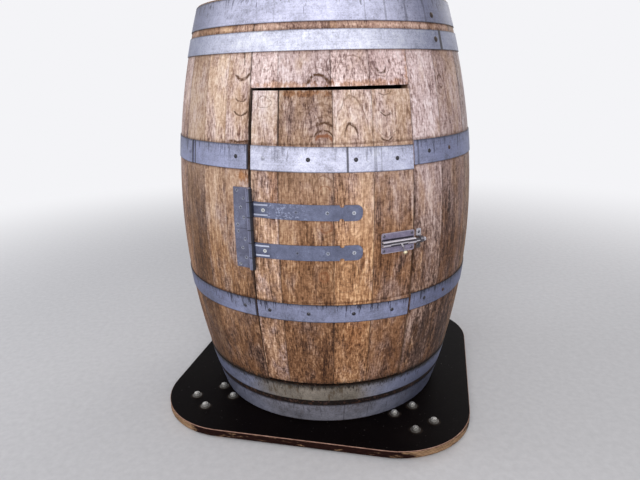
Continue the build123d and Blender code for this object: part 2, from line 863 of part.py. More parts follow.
def build_hinges():
    for index, name in enumerate(("upper", "lower")):
        save(f"{name}_hinge_leaf", lift * hinge_leaf(index))
        save(f"{name}_hinge_strap", lift * hinge_strap(index))
    save("hinge_pins", lift * group(hinge_pin(index) for index in range(2)))
    screw = sunk_screw(hinge_screw_depth)
    seat = seat_gap + sheet_thickness
    save("hinge_leaf_screws", lift * group(surface_place(a, z, seat) * screw for a, z in leaf_places))
    save("hinge_strap_screws", lift * group(surface_place(a, z, seat) * screw for a, z in strap_places))


# Latch: X along the bolt, Y up, Z out of the door

latch_top = seat_gap + latch_plate_thickness
latch_axis_height = latch_top + latch_running_gap + latch_bolt_radius


def bar_along_x(radius, start, end, height):
    return Pos((start + end) / 2, 0, height) * Rot(0, 90, 0) * Cylinder(radius, end - start)


def arch(inner_radius, wall, height, length):
    """Strap bent over a bolt, open to the plate below, running along X."""
    outer_radius = inner_radius + wall
    outside = bar_along_x(outer_radius, -length / 2, length / 2, height)
    outside = outside + Pos(0, 0, height / 2) * Box(length, 2 * outer_radius, height)
    opening = Box(2 * length, 2 * inner_radius, height + 2 * cut_margin)
    inside = bar_along_x(inner_radius, -length, length, height)
    inside = inside + Pos(0, 0, height / 2 - cut_margin) * opening
    lower_half = Pos(0, 0, -outer_radius) * Box(2 * length, 4 * outer_radius, 2 * outer_radius)
    return outside - inside - lower_half


def latch_housing():
    plate = extrude(
        RectangleRounded(latch_plate_length, latch_plate_height, latch_plate_corner),
        amount=latch_plate_thickness,
    )
    inner = latch_bolt_radius + latch_running_gap
    hood = arch(inner, latch_wall, latch_axis_height - seat_gap, latch_plate_length)
    window_low = latch_plate_thickness + latch_wall
    window_height = 3 * inner
    window = Pos(0, (latch_window_share - 2) * inner, window_low + window_height / 2)
    hood = hood - window * Box(2 * latch_window_half, 4 * inner, window_height)
    housing = Pos(0, 0, seat_gap) * (plate + hood)
    for x, y in latch_corners:
        housing = housing - Pos(x, y, 0) * Cylinder(screw_radius + screw_clearance, 8 * latch_plate_thickness)
    return housing


def latch_bolt():
    length = latch_plate_length / 2 + latch_bolt_reach
    bolt = Cylinder(latch_bolt_radius, length)
    bolt = chamfer(bolt.edges(), length=latch_bolt_nose)
    centre = latch_bolt_reach - length / 2
    bolt = Pos(centre, 0, latch_axis_height) * Rot(0, 90, 0) * bolt
    hole_top = 2 * latch_bolt_radius
    hole_depth = hole_top + knob_seat_depth()
    hole = Pos(0, 0, hole_top) * shank(knob_stem_radius + screw_clearance, hole_depth)
    return bolt - knob_place() * hole


def knob_place():
    """Place on the bolt's axis with Z along the knob's stem."""
    return Pos(knob_offset, 0, latch_axis_height) * Rot(-knob_turn, 0, 0)


def knob_seat_depth():
    """How far past the bolt's axis the knob's stem is screwed in."""
    return latch_bolt_radius / 2


def latch_knob():
    stem_foot = -knob_seat_depth()
    stem_top = knob_reach - knob_length
    stem = Pos(0, 0, (stem_foot + stem_top) / 2) * Cylinder(knob_stem_radius, stem_top - stem_foot)
    cap = Pos(0, 0, stem_top + knob_length / 2) * Cylinder(knob_radius, knob_length)
    cap = fillet(cap.edges(), radius=knob_radius / 3)
    return knob_place() * (stem + cap)


def keeper():
    """Staple on the jamb that the bolt slides into: X along the hoops, Y up, Z out of the wood."""
    axis_out = hypot(latch_flat + latch_axis_height, keeper_offset) - latch_flat
    inner = latch_bolt_radius + keeper_clearance
    loop = arch(inner, keeper_wall, axis_out - seat_gap, keeper_loop_width)
    ear_reach = keeper_half_height + keeper_ear_length
    ears = Pos(0, 0, keeper_ear_thickness / 2) * Box(keeper_width, 2 * ear_reach, keeper_ear_thickness)
    ears = fillet(ears.edges().filter_by(Axis.Z), radius=keeper_width / 4)
    ears = ears - Box(2 * keeper_width, 2 * inner, 4 * keeper_ear_thickness)
    staple = loop + ears
    for x, y in keeper_spots:
        staple = staple - Pos(x, y, 0) * Cylinder(screw_radius + screw_clearance, 8 * keeper_ear_thickness)
    return Pos(0, 0, seat_gap) * staple


def build_latch():
    screw = dome_screw(latch_screw_depth, latch_dome_radius, latch_dome_height)
    save("latch_housing", lift * latch_place * latch_housing())
    save("latch_bolt", lift * latch_place * latch_bolt())
    save("latch_knob", lift * latch_place * latch_knob())
    latch_screws = [latch_place * Pos(x, y, latch_top) * screw for x, y in latch_corners]
    save("latch_screws", lift * group(latch_screws))
    save("latch_keeper", lift * keeper_place * keeper())
    ear_top = seat_gap + keeper_ear_thickness
    save("keeper_screws", lift * group(keeper_place * Pos(x, y, ear_top) * screw for x, y in keeper_spots))


# Base

def corner_places():
    """Middle of each corner's bolts on the base, with X along the plate's diagonal."""
    places = []
    for quarter in range(4):
        diagonal = plate_yaw + 45 + 90 * quarter
        places.append(Rot(0, 0, diagonal) * Pos(bolt_group_distance, 0, 0))
    return places


def bolt_places():
    half_long = bolt_spacing_long / 2
    half_short = bolt_spacing_short / 2
    spots = [(x, y) for x in (half_long, -half_long) for y in (half_short, -half_short)]
    return [corner * Pos(x, y, 0) for corner in corner_places() for x, y in spots]


def hex_nut():
    body = extrude(RegularPolygon(nut_across_flats / 2, 6, major_radius=False), amount=nut_height)
    crown = Pos(0, 0, nut_height / 2) * Cylinder(nut_crown_share * nut_across_flats / 2, nut_height)
    crown = chamfer(crown.edges(), length=nut_height / 8)
    return (body & crown) - Cylinder(bolt_radius + screw_clearance, 4 * nut_height)


def base_bolt():
    """Countersunk bolt, its head flush with the foot's underside."""
    height = barrel_foot + washer_thickness + nut_height + bolt_end_proud
    head_height = bolt_head_radius - bolt_radius
    end = Pos(0, 0, height / 2) * Cylinder(bolt_radius, height)
    end = chamfer(end.edges().sort_by(Axis.Z)[-1:], length=bolt_radius / 4)
    return end + Pos(0, 0, head_height / 2) * Cone(bolt_head_radius, bolt_radius, head_height)


def bolt_hole():
    radius = bolt_radius + bolt_hole_clearance
    head_height = bolt_head_radius - bolt_radius
    sink = Cone(bolt_head_radius + screw_clearance, bolt_radius + screw_clearance, head_height)
    return Cylinder(radius, 4 * barrel_foot) + Pos(0, 0, head_height / 2) * sink


def hold_down_screw():
    """Screw from under the plate into a stave's end, its head sunk in the plate."""
    height = plate_thickness + hold_down_depth
    head_height = hold_down_head_radius - hold_down_radius
    rod = Pos(0, 0, height / 2) * Cylinder(hold_down_radius, height)
    return rod + Pos(0, 0, head_height / 2) * Cone(hold_down_head_radius, hold_down_radius, head_height)


def hold_down_hole():
    head_height = hold_down_head_radius - hold_down_radius
    radius = hold_down_radius + screw_clearance
    sink = Cone(hold_down_head_radius + screw_clearance, radius, head_height)
    return Cylinder(radius, 4 * plate_thickness) + Pos(0, 0, head_height / 2) * sink


def build_base():
    under_plate = Pos(0, 0, foot_thickness)
    plate = extrude(RectangleRounded(plate_side, plate_side, plate_corner), amount=plate_thickness)
    plate = chamfer(plate.faces().sort_by(Axis.Z)[-1].edges(), length=plate_arris)
    plate = under_plate * Rot(0, 0, plate_yaw) * plate
    for place in bolt_places():
        plate = plate - place * bolt_hole()
    hold_downs = [under_plate * barrel_axis * hold_down_place(span) for span in hold_down_spans]
    for place in hold_downs:
        plate = plate - place * hold_down_hole()
    save("base_plate", plate)
    save("barrel_screws", group(place * hold_down_screw() for place in hold_downs))
    foot = extrude(RectangleRounded(foot_length, foot_width, foot_corner), amount=foot_thickness)
    feet = []
    for corner in corner_places():
        piece = corner * foot
        for place in bolt_places():
            piece = piece - place * bolt_hole()
        feet.append(piece)
    save("foot_plates", group(feet))
    washer = Pos(0, 0, washer_thickness / 2) * Cylinder(washer_radius, washer_thickness)
    washer = washer - Cylinder(bolt_radius + bolt_hole_clearance, 4 * washer_thickness)
    nut_seat = Pos(0, 0, barrel_foot + washer_thickness)
    nut = hex_nut()
    bolt = base_bolt()
    save("base_bolts", group(place * bolt for place in bolt_places()))
    save("base_washers", group(place * Pos(0, 0, barrel_foot) * washer for place in bolt_places()))
    save("base_nuts", group(place * nut_seat * nut for place in bolt_places()))


def build_bung():
    """Tapered plug in the hole at the bilge of one back stave."""
    inner = bung_radius - bung_clearance - bung_taper
    outer = bung_radius - bung_clearance
    depth = stave_thickness
    plug = Pos(0, 0, -depth / 2) * Cone(inner, outer, depth)
    cap = Pos(0, 0, bung_proud / 2) * Cylinder(outer, bung_proud)
    cap = fillet(cap.edges().sort_by(Axis.Z)[-1:], radius=bung_proud / 4)
    save("bung", lift * surface_place(bung_azimuth, bung_height) * (plug + cap))


build_base()
build_staves()
build_heads()
build_hoops()
build_door_staves()
build_battens()
build_hinges()
build_latch()
build_bung()
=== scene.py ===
import math
import random

import bpy
from mathutils import Matrix, Vector

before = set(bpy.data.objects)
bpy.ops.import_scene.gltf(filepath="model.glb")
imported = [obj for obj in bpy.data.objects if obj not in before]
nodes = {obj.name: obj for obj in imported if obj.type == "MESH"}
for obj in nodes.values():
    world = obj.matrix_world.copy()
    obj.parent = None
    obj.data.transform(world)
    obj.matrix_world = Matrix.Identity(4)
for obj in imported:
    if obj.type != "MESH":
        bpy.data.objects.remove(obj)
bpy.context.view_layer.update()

# Sizes of the barrel and its fittings that the materials follow, in metres and degrees
barrel_foot = 0.023
barrel_height = 0.95
bilge_radius = 0.3685
end_radius = 0.294
stave_thickness = 0.027
plate_yaw = -14.5
door_middle = 0.46875
door_lean = 0.5
hinge_azimuth = -26.89
latch_azimuth = 21.2
latch_height = 0.4855
latch_axis_out = 0.0063
barrel_axis_x = -0.007
barrel_axis_y = -0.0185
bolt_group_reach = 0.3628
bolt_half_long = 0.038
bolt_half_short = 0.029


def rgb(red, green, blue):
    """Linear colour from the usual 0 to 255 screen values."""
    def linear(value):
        share = min(max(value / 255, 0), 1)
        return share / 12.92 if share <= 0.04045 else ((share + 0.055) / 1.055) ** 2.4
    return linear(red), linear(green), linear(blue), 1.0


def screen(stops):
    """Ramp stops whose colours are given in screen values."""
    return [(position, rgb(*colour)) for position, colour in stops]


def shades(dark, middle, pale):
    """Ramp stops of three colours."""
    return [(0.1, dark), (0.5, middle), (0.9, pale)]


def tint_of(shares):
    """Linear multiplier from shares of screen values."""
    return (*[share ** 2.2 for share in shares], 1.0)


def drawn_shift(seed):
    """Where in its noise a material starts."""
    draw = random.Random(seed)
    return tuple(draw.uniform(-9, 9) for _ in range(3))


# Building of materials

class Graph:
    """Nodes of one material. A value is a number, a colour or a node's socket."""

    def __init__(self, name):
        self.material = bpy.data.materials.new(name)
        self.material.use_nodes = True
        self.tree = self.material.node_tree
        self.shader = self.tree.nodes["Principled BSDF"]
        self.place = self.node("TexCoord").outputs["Object"]
        split = self.node("SeparateXYZ")
        self.put(self.place, split.inputs[0])
        self.x, self.y, self.z = split.outputs

    def node(self, kind):
        return self.tree.nodes.new(f"ShaderNode{kind}")

    def put(self, value, socket):
        if isinstance(value, bpy.types.NodeSocket):
            self.tree.links.new(value, socket)
        else:
            socket.default_value = value

    def math(self, kind, *values):
        node = self.node("Math")
        node.operation = kind
        for value, socket in zip(values, node.inputs):
            self.put(value, socket)
        return node.outputs[0]

    def add(self, one, two):
        return self.math("ADD", one, two)

    def less(self, one, two):
        return self.math("SUBTRACT", one, two)

    def times(self, *values):
        result = values[0]
        for value in values[1:]:
            result = self.math("MULTIPLY", result, value)
        return result

    def largest(self, *values):
        result = values[0]
        for value in values[1:]:
            result = self.math("MAXIMUM", result, value)
        return result

    def size(self, value):
        return self.math("ABSOLUTE", value)

    def length(self, one, two):
        return self.math("SQRT", self.add(self.times(one, one), self.times(two, two)))

    def sum_of(self, base, *pairs):
        """Base plus each value's weighted share about its middle of 0.5."""
        result = base - sum(weight for _, weight in pairs) / 2
        for value, weight in pairs:
            result = self.math("MULTIPLY_ADD", value, weight, result)
        return result

    def smooth(self, value, start, end):
        """0 at start, 1 at end, with a soft rise or fall between."""
        node = self.node("MapRange")
        node.interpolation_type = "SMOOTHSTEP"
        self.put(value, node.inputs["Value"])
        self.put(start, node.inputs["From Min"])
        self.put(end, node.inputs["From Max"])
        return node.outputs["Result"]

    def band(self, value, low, high, soft):
        """1 between low and high, with soft edges."""
        return self.times(self.smooth(value, low - soft, low), self.smooth(value, high + soft, high))

    def vector(self, x, y, z):
        node = self.node("CombineXYZ")
        for value, socket in zip((x, y, z), node.inputs):
            self.put(value, socket)
        return node.outputs[0]

    def noise(self, source, detail=3.0, rough=0.5, warp=0.0):
        node = self.node("TexNoise")
        self.put(source, node.inputs["Vector"])
        node.inputs["Scale"].default_value = 1.0
        node.inputs["Detail"].default_value = detail
        node.inputs["Roughness"].default_value = rough
        node.inputs["Distortion"].default_value = warp
        return node.outputs["Fac"]

    def spread(self, scale, shift=(0, 0, 0), **how):
        """Noise by place, as fine along each axis as scale says."""
        node = self.node("Mapping")
        self.put(self.place, node.inputs["Vector"])
        node.inputs["Scale"].default_value = scale
        node.inputs["Location"].default_value = shift
        return self.noise(node.outputs[0], **how)

    def cells(self, source, scale):
        node = self.node("TexVoronoi")
        self.put(source, node.inputs["Vector"])
        node.inputs["Scale"].default_value = scale
        split = self.node("SeparateColor")
        self.put(node.outputs["Color"], split.inputs[0])
        return split.outputs[0]

    def ramp(self, value, stops, kind="LINEAR"):
        node = self.node("ValToRGB")
        node.color_ramp.interpolation = kind
        elements = node.color_ramp.elements
        while len(elements) < len(stops):
            elements.new(0.5)
        for element, (position, colour) in zip(elements, stops):
            element.position = position
            element.color = colour
        self.put(value, node.inputs[0])
        return node.outputs["Color"]

    def mix(self, share, one, two, kind="MIX"):
        """Mix of two colours. Several shares in a tuple are multiplied."""
        if isinstance(share, tuple):
            share = self.times(*share)
        node = self.node("Mix")
        node.data_type = "RGBA"
        node.blend_type = kind
        self.put(share, node.inputs[0])
        self.put(one, node.inputs[6])
        self.put(two, node.inputs[7])
        return node.outputs[2]

    def shade(self, share, colour, tint):
        """Multiplies a colour by a tint over a share of the surface."""
        return self.mix(share, colour, tint, "MULTIPLY")

    def bump(self, height, distance, strength):
        node = self.node("Bump")
        node.inputs["Strength"].default_value = strength
        node.inputs["Distance"].default_value = distance
        self.put(height, node.inputs["Height"])
        return node.outputs["Normal"]

    def finish(self, colour, rough, metallic, normal, specular=0.5):
        self.put(colour, self.shader.inputs["Base Color"])
        self.put(rough, self.shader.inputs["Roughness"])
        self.shader.inputs["Metallic"].default_value = metallic
        self.shader.inputs["Specular IOR Level"].default_value = specular
        if normal:
            self.put(normal, self.shader.inputs["Normal"])
        return self.material


def dress(name, material):
    for slot in nodes[name].material_slots:
        slot.material = material


def from_axis(g):
    """Place right of and behind the barrel's axis."""
    return g.less(g.x, barrel_axis_x), g.less(g.y, barrel_axis_y)


def arc_at(azimuth):
    """Length of arc at the bilge from the door's middle to an azimuth."""
    return math.radians(azimuth) * bilge_radius


def barrel_arc(g):
    """Length of arc from the door's middle, positive to the right."""
    x, y = from_axis(g)
    return g.times(g.math("ARCTAN2", x, g.times(y, -1)), bilge_radius)


def barrel_depth(g):
    """Depth below the wood's outer face, negative for what stands proud of it."""
    reach = g.less(g.times(g.less(g.z, barrel_foot), 2 / barrel_height), 1)
    outside = g.less(bilge_radius, g.times(reach, reach, bilge_radius - end_radius))
    return g.less(outside, g.length(*from_axis(g)))


# Hoops by the heights of their lower and upper edges above the floor
hoop_edges = {
    "top_head_hoop": (0.9182, 0.9702),
    "top_quarter_hoop": (0.8655, 0.904),
    "upper_bilge_hoop": (0.641, 0.6905),
    "lower_bilge_hoop": (0.3175, 0.359),
    "bottom_quarter_hoop": (0.0935, 0.14),
    "bottom_head_hoop": (0.0258, 0.0778),
}

# Wood

tan_stops = [(112, 82, 64), (174, 144, 123), (208, 181, 162), (240, 222, 206)]
pink_stops = [(112, 88, 85), (177, 152, 147), (212, 189, 186), (240, 225, 223)]
gold_stops = [(66, 40, 23), (122, 86, 59), (160, 119, 87), (206, 168, 132)]
grey_stops = [(60, 43, 37), (113, 88, 77), (149, 121, 109), (196, 170, 158)]
wood_shares = (0.05, 0.35, 0.62, 0.95)
tan_above, pink_above, gold_below, grey_below = [
    list(zip(wood_shares, stops)) for stops in (tan_stops, pink_stops, gold_stops, grey_stops)
]
wood_inside = shades((52, 33, 25), (92, 62, 46), (132, 98, 74))
old_line = rgb(46, 31, 22)
dark_brown = rgb(84, 54, 34)
red_brown = rgb(132, 78, 46)
soft_brown = rgb(112, 82, 62)
# Brown of dirt, and of painted contact shade along the hoops' edges and beside the stave joints
grime_and_shade_brown = rgb(122, 95, 76)
# Black of painted shade in the doorway's gaps, and of the soot over the lowest pair of hoops
shade_and_soot_black = rgb(20, 14, 11)
gap_brown = rgb(150, 116, 90)

# Heights between which the pale upper wood turns golden and the golden wood darkens to the foot: partly the
# oak's own tone and partly painted shade, darker towards the floor
pale_down_to = 0.80
golden_from = 0.44
foot_starts = 0.42
foot_ends = 0.12

# How far dirt and painted contact shade reach in under a hoop, how far dirt runs down from it, and how high
# soot stands over the lowest pair
hoop_lip = 0.002
run_length = 0.045
soot_height = 0.026

# Heights between which the joints change their darkness, and where the doorway's gaps are
joints_change = (0.60, 0.69)
doorway_heights = (0.10, 0.85)


def crescent(g, across, up, azimuth, height, half_width, half_height, rim, side):
    """Rim of an ellipse, its upper half (1), its lower half (-1) or all of it (0)."""
    from_middle = g.times(g.less(across, arc_at(azimuth)), 1 / half_width)
    from_height = g.times(g.less(up, height), 1 / half_height)
    distance = g.length(from_middle, from_height)
    thickness = rim / min(half_width, half_height)
    line = g.smooth(g.size(g.less(distance, 1)), thickness, thickness * 0.2)
    if side:
        line = g.times(line, g.smooth(g.times(from_height, side), -0.05, 0.35))
    return line


def blotch(g, across, up, azimuth, height, half_width, half_height, edge):
    """Soft filled patch."""
    from_middle = g.times(g.less(across, arc_at(azimuth)), 1 / half_width)
    from_height = g.times(g.less(up, height), 1 / half_height)
    return g.smooth(g.add(g.length(from_middle, from_height), edge), 1.1, 0.3)


def weathering(g, shift):
    """Noises of old oak: fibres and pores along the grain, streaks, saw marks, flecks, clouds and hue."""
    return {
        "fibre": g.spread((330, 330, 20), shift, detail=4, rough=0.6),
        "pore": g.spread((470, 470, 62), shift[::-1], detail=3, rough=0.6),
        "streak": g.spread((75, 75, 6), shift, detail=4, rough=0.55, warp=0.5),
        "sawn": g.spread((120, 120, 300), shift, detail=4, rough=0.6),
        "fleck": g.spread((190, 190, 105), shift, detail=4, rough=0.65),
        "cloud": g.spread((9, 9, 5), shift, detail=4, rough=0.55),
        "hue": g.spread((24, 24, 10), shift[::-1], detail=5, rough=0.65),
    }


def curl_lines(g, arc, shift):
    """Wavy grain that climbs across a stave."""
    bend = g.spread((14, 14, 9), shift, detail=3)
    climb = g.add(g.times(arc, 190), g.add(g.times(g.z, 75), g.times(bend, 9)))
    return g.noise(g.vector(climb, g.times(g.z, 16), shift[0]), detail=3, rough=0.6)


def hoop_dirt_and_shade(g, colour, fibre, fleck):
    """Grime and painted contact shade along the hoops' lower and upper edges, grime that has run down from
    them, soot over the lowest pair, and the tints of the wood between the two hoops at each end."""
    ragged = g.add(g.z, g.sum_of(0.0, (fleck, 0.010)))
    for low, high in hoop_edges.values():
        # Dark bands along each hoop's lower and upper edge are dirt and painted contact shade; the runs
        # below are dirt
        beneath = g.smooth(g.z, low + hoop_lip, low)
        under = g.times(g.smooth(ragged, low - 0.006, low), beneath)
        over = g.times(g.smooth(ragged, high + 0.007, high), g.smooth(g.z, high - hoop_lip, high))
        run = g.times(g.smooth(g.z, low - run_length, low), beneath, g.smooth(fibre, 0.50, 0.62))
        colour = g.shade((g.largest(under, over), 0.6), colour, grime_and_shade_brown)
        colour = g.shade((run, 0.4), colour, grime_and_shade_brown)
    low_strip, soot_low = hoop_edges["bottom_quarter_hoop"]
    near_soot = g.smooth(g.z, soot_low + soot_height, soot_low)
    soot = g.smooth(g.add(fleck, g.times(near_soot, 0.20)), 0.63, 0.68)
    colour = g.mix((soot, near_soot, 0.95), colour, shade_and_soot_black)
    top_strip = hoop_edges["top_quarter_hoop"][1]
    above = g.smooth(g.z, top_strip - hoop_lip, top_strip)
    colour = g.shade((above, 0.6), colour, rgb(232, 208, 172))
    return g.shade(g.smooth(g.z, low_strip + hoop_lip, low_strip), colour, rgb(206, 206, 216))


def stave_joints(g, leaned, face, fibre, fleck, edges, joints):
    """Dark lines where staves meet, seen only near the outer face, and the grime and painted shade beside
    them.
    """
    above = g.smooth(g.z, *joints_change)
    ragged_by = g.sum_of(0.0, (fibre, 0.0022), (fleck, 0.0014))
    lines = []
    dirt_and_shade = []
    for edge, (share_above, share_below) in zip(edges, joints or [plain_joint] * len(edges)):
        gap_near = g.add(g.size(g.less(leaned, arc_at(edge))), ragged_by)
        share = g.times(g.add(g.times(above, share_above - share_below), share_below), face)
        width = 0.0009 + 0.0012 * max(share_above, share_below)
        lines.append(g.times(g.smooth(gap_near, width, width * 0.3), share))
        dirt_and_shade.append(g.times(g.smooth(gap_near, 0.006, 0.0005), share))
    return g.largest(*lines), g.largest(*dirt_and_shade)


def two_toned(g, tone, hue, rose, plain, rosy):
    """Mix of two ramps by hue; rose is the share of the rosier one."""
    share = g.smooth(g.add(hue, (rose - 0.5) * 0.4), 0.36, 0.64)
    return g.mix(share, g.ramp(tone, screen(plain)), g.ramp(tone, screen(rosy)))


def stave_tints(g, arc, edges, tints):
    """Upper and lower tint, by place round the barrel where there are several staves."""
    if len(tints) == 1:
        return [tint_of(tint) for tint in tints[0]]
    width = edges[-1] - edges[0]
    turn = g.times(g.less(arc, arc_at(edges[0])), 1 / arc_at(width))
    starts = [(edge - edges[0]) / width for edge in edges]
    ramps = []
    for level in zip(*tints):
        stops = [(start, tint_of(tint)) for start, tint in zip(starts, level)]
        ramps.append(g.ramp(turn, stops, "CONSTANT"))
    return ramps


def wood(
    name, seed, edges, tints, rose, marks=(), patches=(), lean=0.0, joints=None, gap=shade_and_soot_black, curl=0.0,
):
    """Weathered oak. Edges are joint azimuths, and joints how dark each is above and below. Tints are each
    stave's upper and lower tint between them; rose is the share of pinkish grey above and below."""
    g = Graph(name)
    arc = barrel_arc(g)
    depth = barrel_depth(g)
    shift = drawn_shift(seed)
    look = weathering(g, shift)
    fibre, cloud, fleck = look["fibre"], look["cloud"], look["fleck"]
    grain = g.sum_of(0.0, (fibre, 1.35), (look["pore"], 1.2), (look["streak"], 1.0), (look["sawn"], 0.7))
    patchy = g.sum_of(1.0, (look["hue"], 2.2))
    tone = g.add(g.times(grain, patchy), g.sum_of(0.5, (fleck, 1.15), (cloud, 1.0)))
    if curl:
        tone = g.add(tone, g.sum_of(0.0, (curl_lines(g, arc, shift), curl)))
    wavy = g.spread((42, 42, 20), shift, detail=5, rough=0.6)
    wavy_up = g.spread((42, 42, 28), shift[::-1], detail=5, rough=0.6)
    across = g.add(arc, g.sum_of(0.0, (wavy, 0.016)))
    up = g.add(g.z, g.sum_of(0.0, (wavy_up, 0.018)))

    # Paler above, golden and darker below: partly the oak's own tone and partly painted shade that falls off
    # towards the floor
    cloudy_height = g.add(g.z, g.sum_of(0.0, (cloud, 0.2)))
    lower = g.smooth(cloudy_height, pale_down_to, golden_from)
    foot = g.smooth(cloudy_height, foot_starts, foot_ends)
    pale = two_toned(g, tone, look["hue"], rose[0], tan_above, pink_above)
    warm = two_toned(g, tone, look["hue"], rose[1], gold_below, grey_below)
    upper_tint, lower_tint = stave_tints(g, arc, edges, tints)
    colour = g.mix(lower, g.shade(1.0, pale, upper_tint), g.shade(1.0, warm, lower_tint))
    colour = g.shade((foot, 0.5), colour, rgb(178, 160, 150))
    crack = g.times(g.smooth(look["pore"], 0.63, 0.74), g.smooth(fibre, 0.48, 0.62))
    colour = g.shade((crack, 0.6), colour, rgb(104, 76, 58))

    colour = hoop_dirt_and_shade(g, colour, fibre, fleck)
    broken = g.smooth(fleck, 0.31, 0.50)
    for colour_of, *shape, share in marks:
        line = crescent(g, across, up, *shape)
        colour = g.mix((line, broken, share), colour, colour_of)
    ragged = g.sum_of(0.0, (look["streak"], 2.4), (fleck, 2.4))
    for colour_of, *shape, share in patches:
        area = blotch(g, across, up, *shape, ragged)
        colour = g.shade((area, share), colour, colour_of)

    leaned = g.less(arc, g.times(g.less(g.z, door_middle), math.tan(math.radians(lean))))
    face = g.smooth(depth, 0.006, 0.002)
    # Grime beside the joints is partly dirt and partly painted shade
    joint, grime = stave_joints(g, leaned, face, fibre, fleck, edges, joints)
    colour = g.shade((grime, 0.4), colour, grime_and_shade_brown)
    colour = g.mix((joint, g.smooth(wavy_up, 0.22, 0.50)), colour, old_line)

    # Sawn faces in the doorway's gaps take the gap colour, black as painted shade in the gaps or brown as
    # sawn oak, and the inside is wine-dark
    sawn_edge = g.times(g.smooth(depth, 0.0015, 0.006), g.band(g.z, *doorway_heights, 0.01))
    colour = g.mix((sawn_edge, 0.88), colour, gap)
    inside = g.smooth(depth, stave_thickness - 0.004, stave_thickness - 0.001)
    colour = g.mix(inside, colour, g.ramp(tone, screen(wood_inside)))

    rough = g.sum_of(0.68, (fibre, 0.3))
    relief = g.sum_of(0.0, (fibre, 0.7), (look["pore"], 0.6), (look["sawn"], 0.5), (fleck, 0.6))
    relief = g.less(relief, g.times(crack, 0.35))
    relief = g.less(relief, g.times(joint, 1.2))
    return g.finish(colour, rough, 0.0, g.bump(relief, 0.0010, 0.8), 0.25)


# Joints between the staves, by azimuth in degrees from the door's middle, and how dark they are
door_joints = [-27.7, -17.7, -0.1, 12.8, 27.7]
left_joints = [-62.0, -48.3, -37.4, -27.7]
right_joints = [27.7, 40.9, 58.7]
back_shares = [17.5, 15.0, 19.0, 16.0, 18.0, 14.5, 20.0, 16.5, 18.5, 15.5, 17.0, 19.5, 14.8, 17.5]
plain_joint = (0.4, 0.45)
faint_joint = (0.22, 0.28)
doorway_joint = (1.0, 0.75)
door_joint_shares = [doorway_joint, (1.0, 0.45), (0.5, 0.55), (0.4, 0.5), (0.25, 0.4)]
lintel_joint_shares = [(0.7, 0.4), (0.45, 0.4), (0.5, 0.4), (0.3, 0.4), (0.5, 0.4)]

# Tints of the staves above and below, and the pinkish grey in them
door_tints = [
    ((1.00, 1.00, 1.00), (1.28, 1.36, 1.48)),
    ((0.89, 0.86, 0.83), (0.98, 0.96, 0.94)),
    ((1.02, 1.01, 1.00), (1.20, 1.20, 1.18)),
    ((1.00, 0.98, 0.96), (0.99, 0.96, 0.94)),
]
door_rose = [(0.55, 0.3), (0.4, 0.2), (0.5, 0.2), (0.5, 0.4)]
lintel_tints = [
    ((1.09, 1.09, 1.09), (1, 1, 1)),
    ((1.02, 1.02, 1.03), (1, 1, 1)),
    ((1.11, 1.11, 1.11), (1, 1, 1)),
    ((1.09, 1.08, 1.09), (1, 1, 1)),
]
sill_tints = [((1, 1, 1), (0.90, 0.89, 0.94))] * 4

# Figure in the wood: colour, azimuth, height, half width, half height, rim, half shown, strength
door_marks = {
    1: [
        (soft_brown, -22.5, 0.772, 0.016, 0.010, 0.0014, 0, 0.5),
        (soft_brown, -21.5, 0.768, 0.024, 0.016, 0.0012, 1, 0.35),
    ],
    2: [
        (dark_brown, -2.6, 0.722, 0.016, 0.011, 0.0042, 1, 1.0),
        (soft_brown, -2.6, 0.732, 0.019, 0.013, 0.0014, 1, 0.7),
        (red_brown, -2.7, 0.696, 0.014, 0.013, 0.0046, 1, 0.9),
        (dark_brown, -2.7, 0.700, 0.018, 0.017, 0.0028, 1, 1.0),
        (soft_brown, -3.2, 0.690, 0.042, 0.078, 0.0016, 1, 0.65),
        (soft_brown, -7.6, 0.700, 0.030, 0.056, 0.0013, 1, 0.5),
        (soft_brown, -2.8, 0.603, 0.020, 0.026, 0.0018, 1, 0.65),
        (red_brown, -2.8, 0.598, 0.012, 0.012, 0.0020, 1, 0.6),
        (red_brown, -2.6, 0.528, 0.011, 0.013, 0.0034, 0, 0.55),
        (dark_brown, -2.6, 0.528, 0.018, 0.024, 0.0014, 0, 0.5),
        (red_brown, -3.4, 0.420, 0.008, 0.011, 0.0040, 0, 0.5),
        (dark_brown, -3.4, 0.420, 0.017, 0.024, 0.0014, 0, 0.5),
        (dark_brown, -3.4, 0.420, 0.025, 0.038, 0.0014, 0, 0.4),
        (dark_brown, -10.0, 0.175, 0.020, 0.030, 0.0016, 1, 0.6),
        (dark_brown, -10.0, 0.175, 0.031, 0.055, 0.0016, 1, 0.6),
        (dark_brown, -10.0, 0.175, 0.042, 0.082, 0.0016, 1, 0.5),
        (dark_brown, -9.6, 0.175, 0.053, 0.112, 0.0016, 1, 0.5),
    ],
    3: [
        (dark_brown, 6.0, 0.700, 0.013, 0.027, 0.0024, 1, 0.95),
        (soft_brown, 6.2, 0.705, 0.034, 0.074, 0.0016, 1, 0.6),
        (soft_brown, 6.0, 0.695, 0.019, 0.014, 0.0014, -1, 0.45),
        (soft_brown, 4.2, 0.428, 0.009, 0.012, 0.0013, 0, 0.5),
        (soft_brown, 4.2, 0.428, 0.016, 0.022, 0.0013, 0, 0.5),
        (soft_brown, 4.2, 0.428, 0.023, 0.032, 0.0013, 0, 0.45),
        (soft_brown, 4.2, 0.428, 0.031, 0.045, 0.0013, 0, 0.4),
    ],
    4: [
        (dark_brown, 18.0, 0.752, 0.014, 0.010, 0.0025, -1, 0.95),
        (dark_brown, 18.0, 0.704, 0.015, 0.011, 0.0025, -1, 0.95),
        (dark_brown, 18.0, 0.788, 0.015, 0.008, 0.0016, -1, 0.7),
        (soft_brown, 18.4, 0.75, 0.028, 0.05, 0.0013, -1, 0.4),
    ],
}
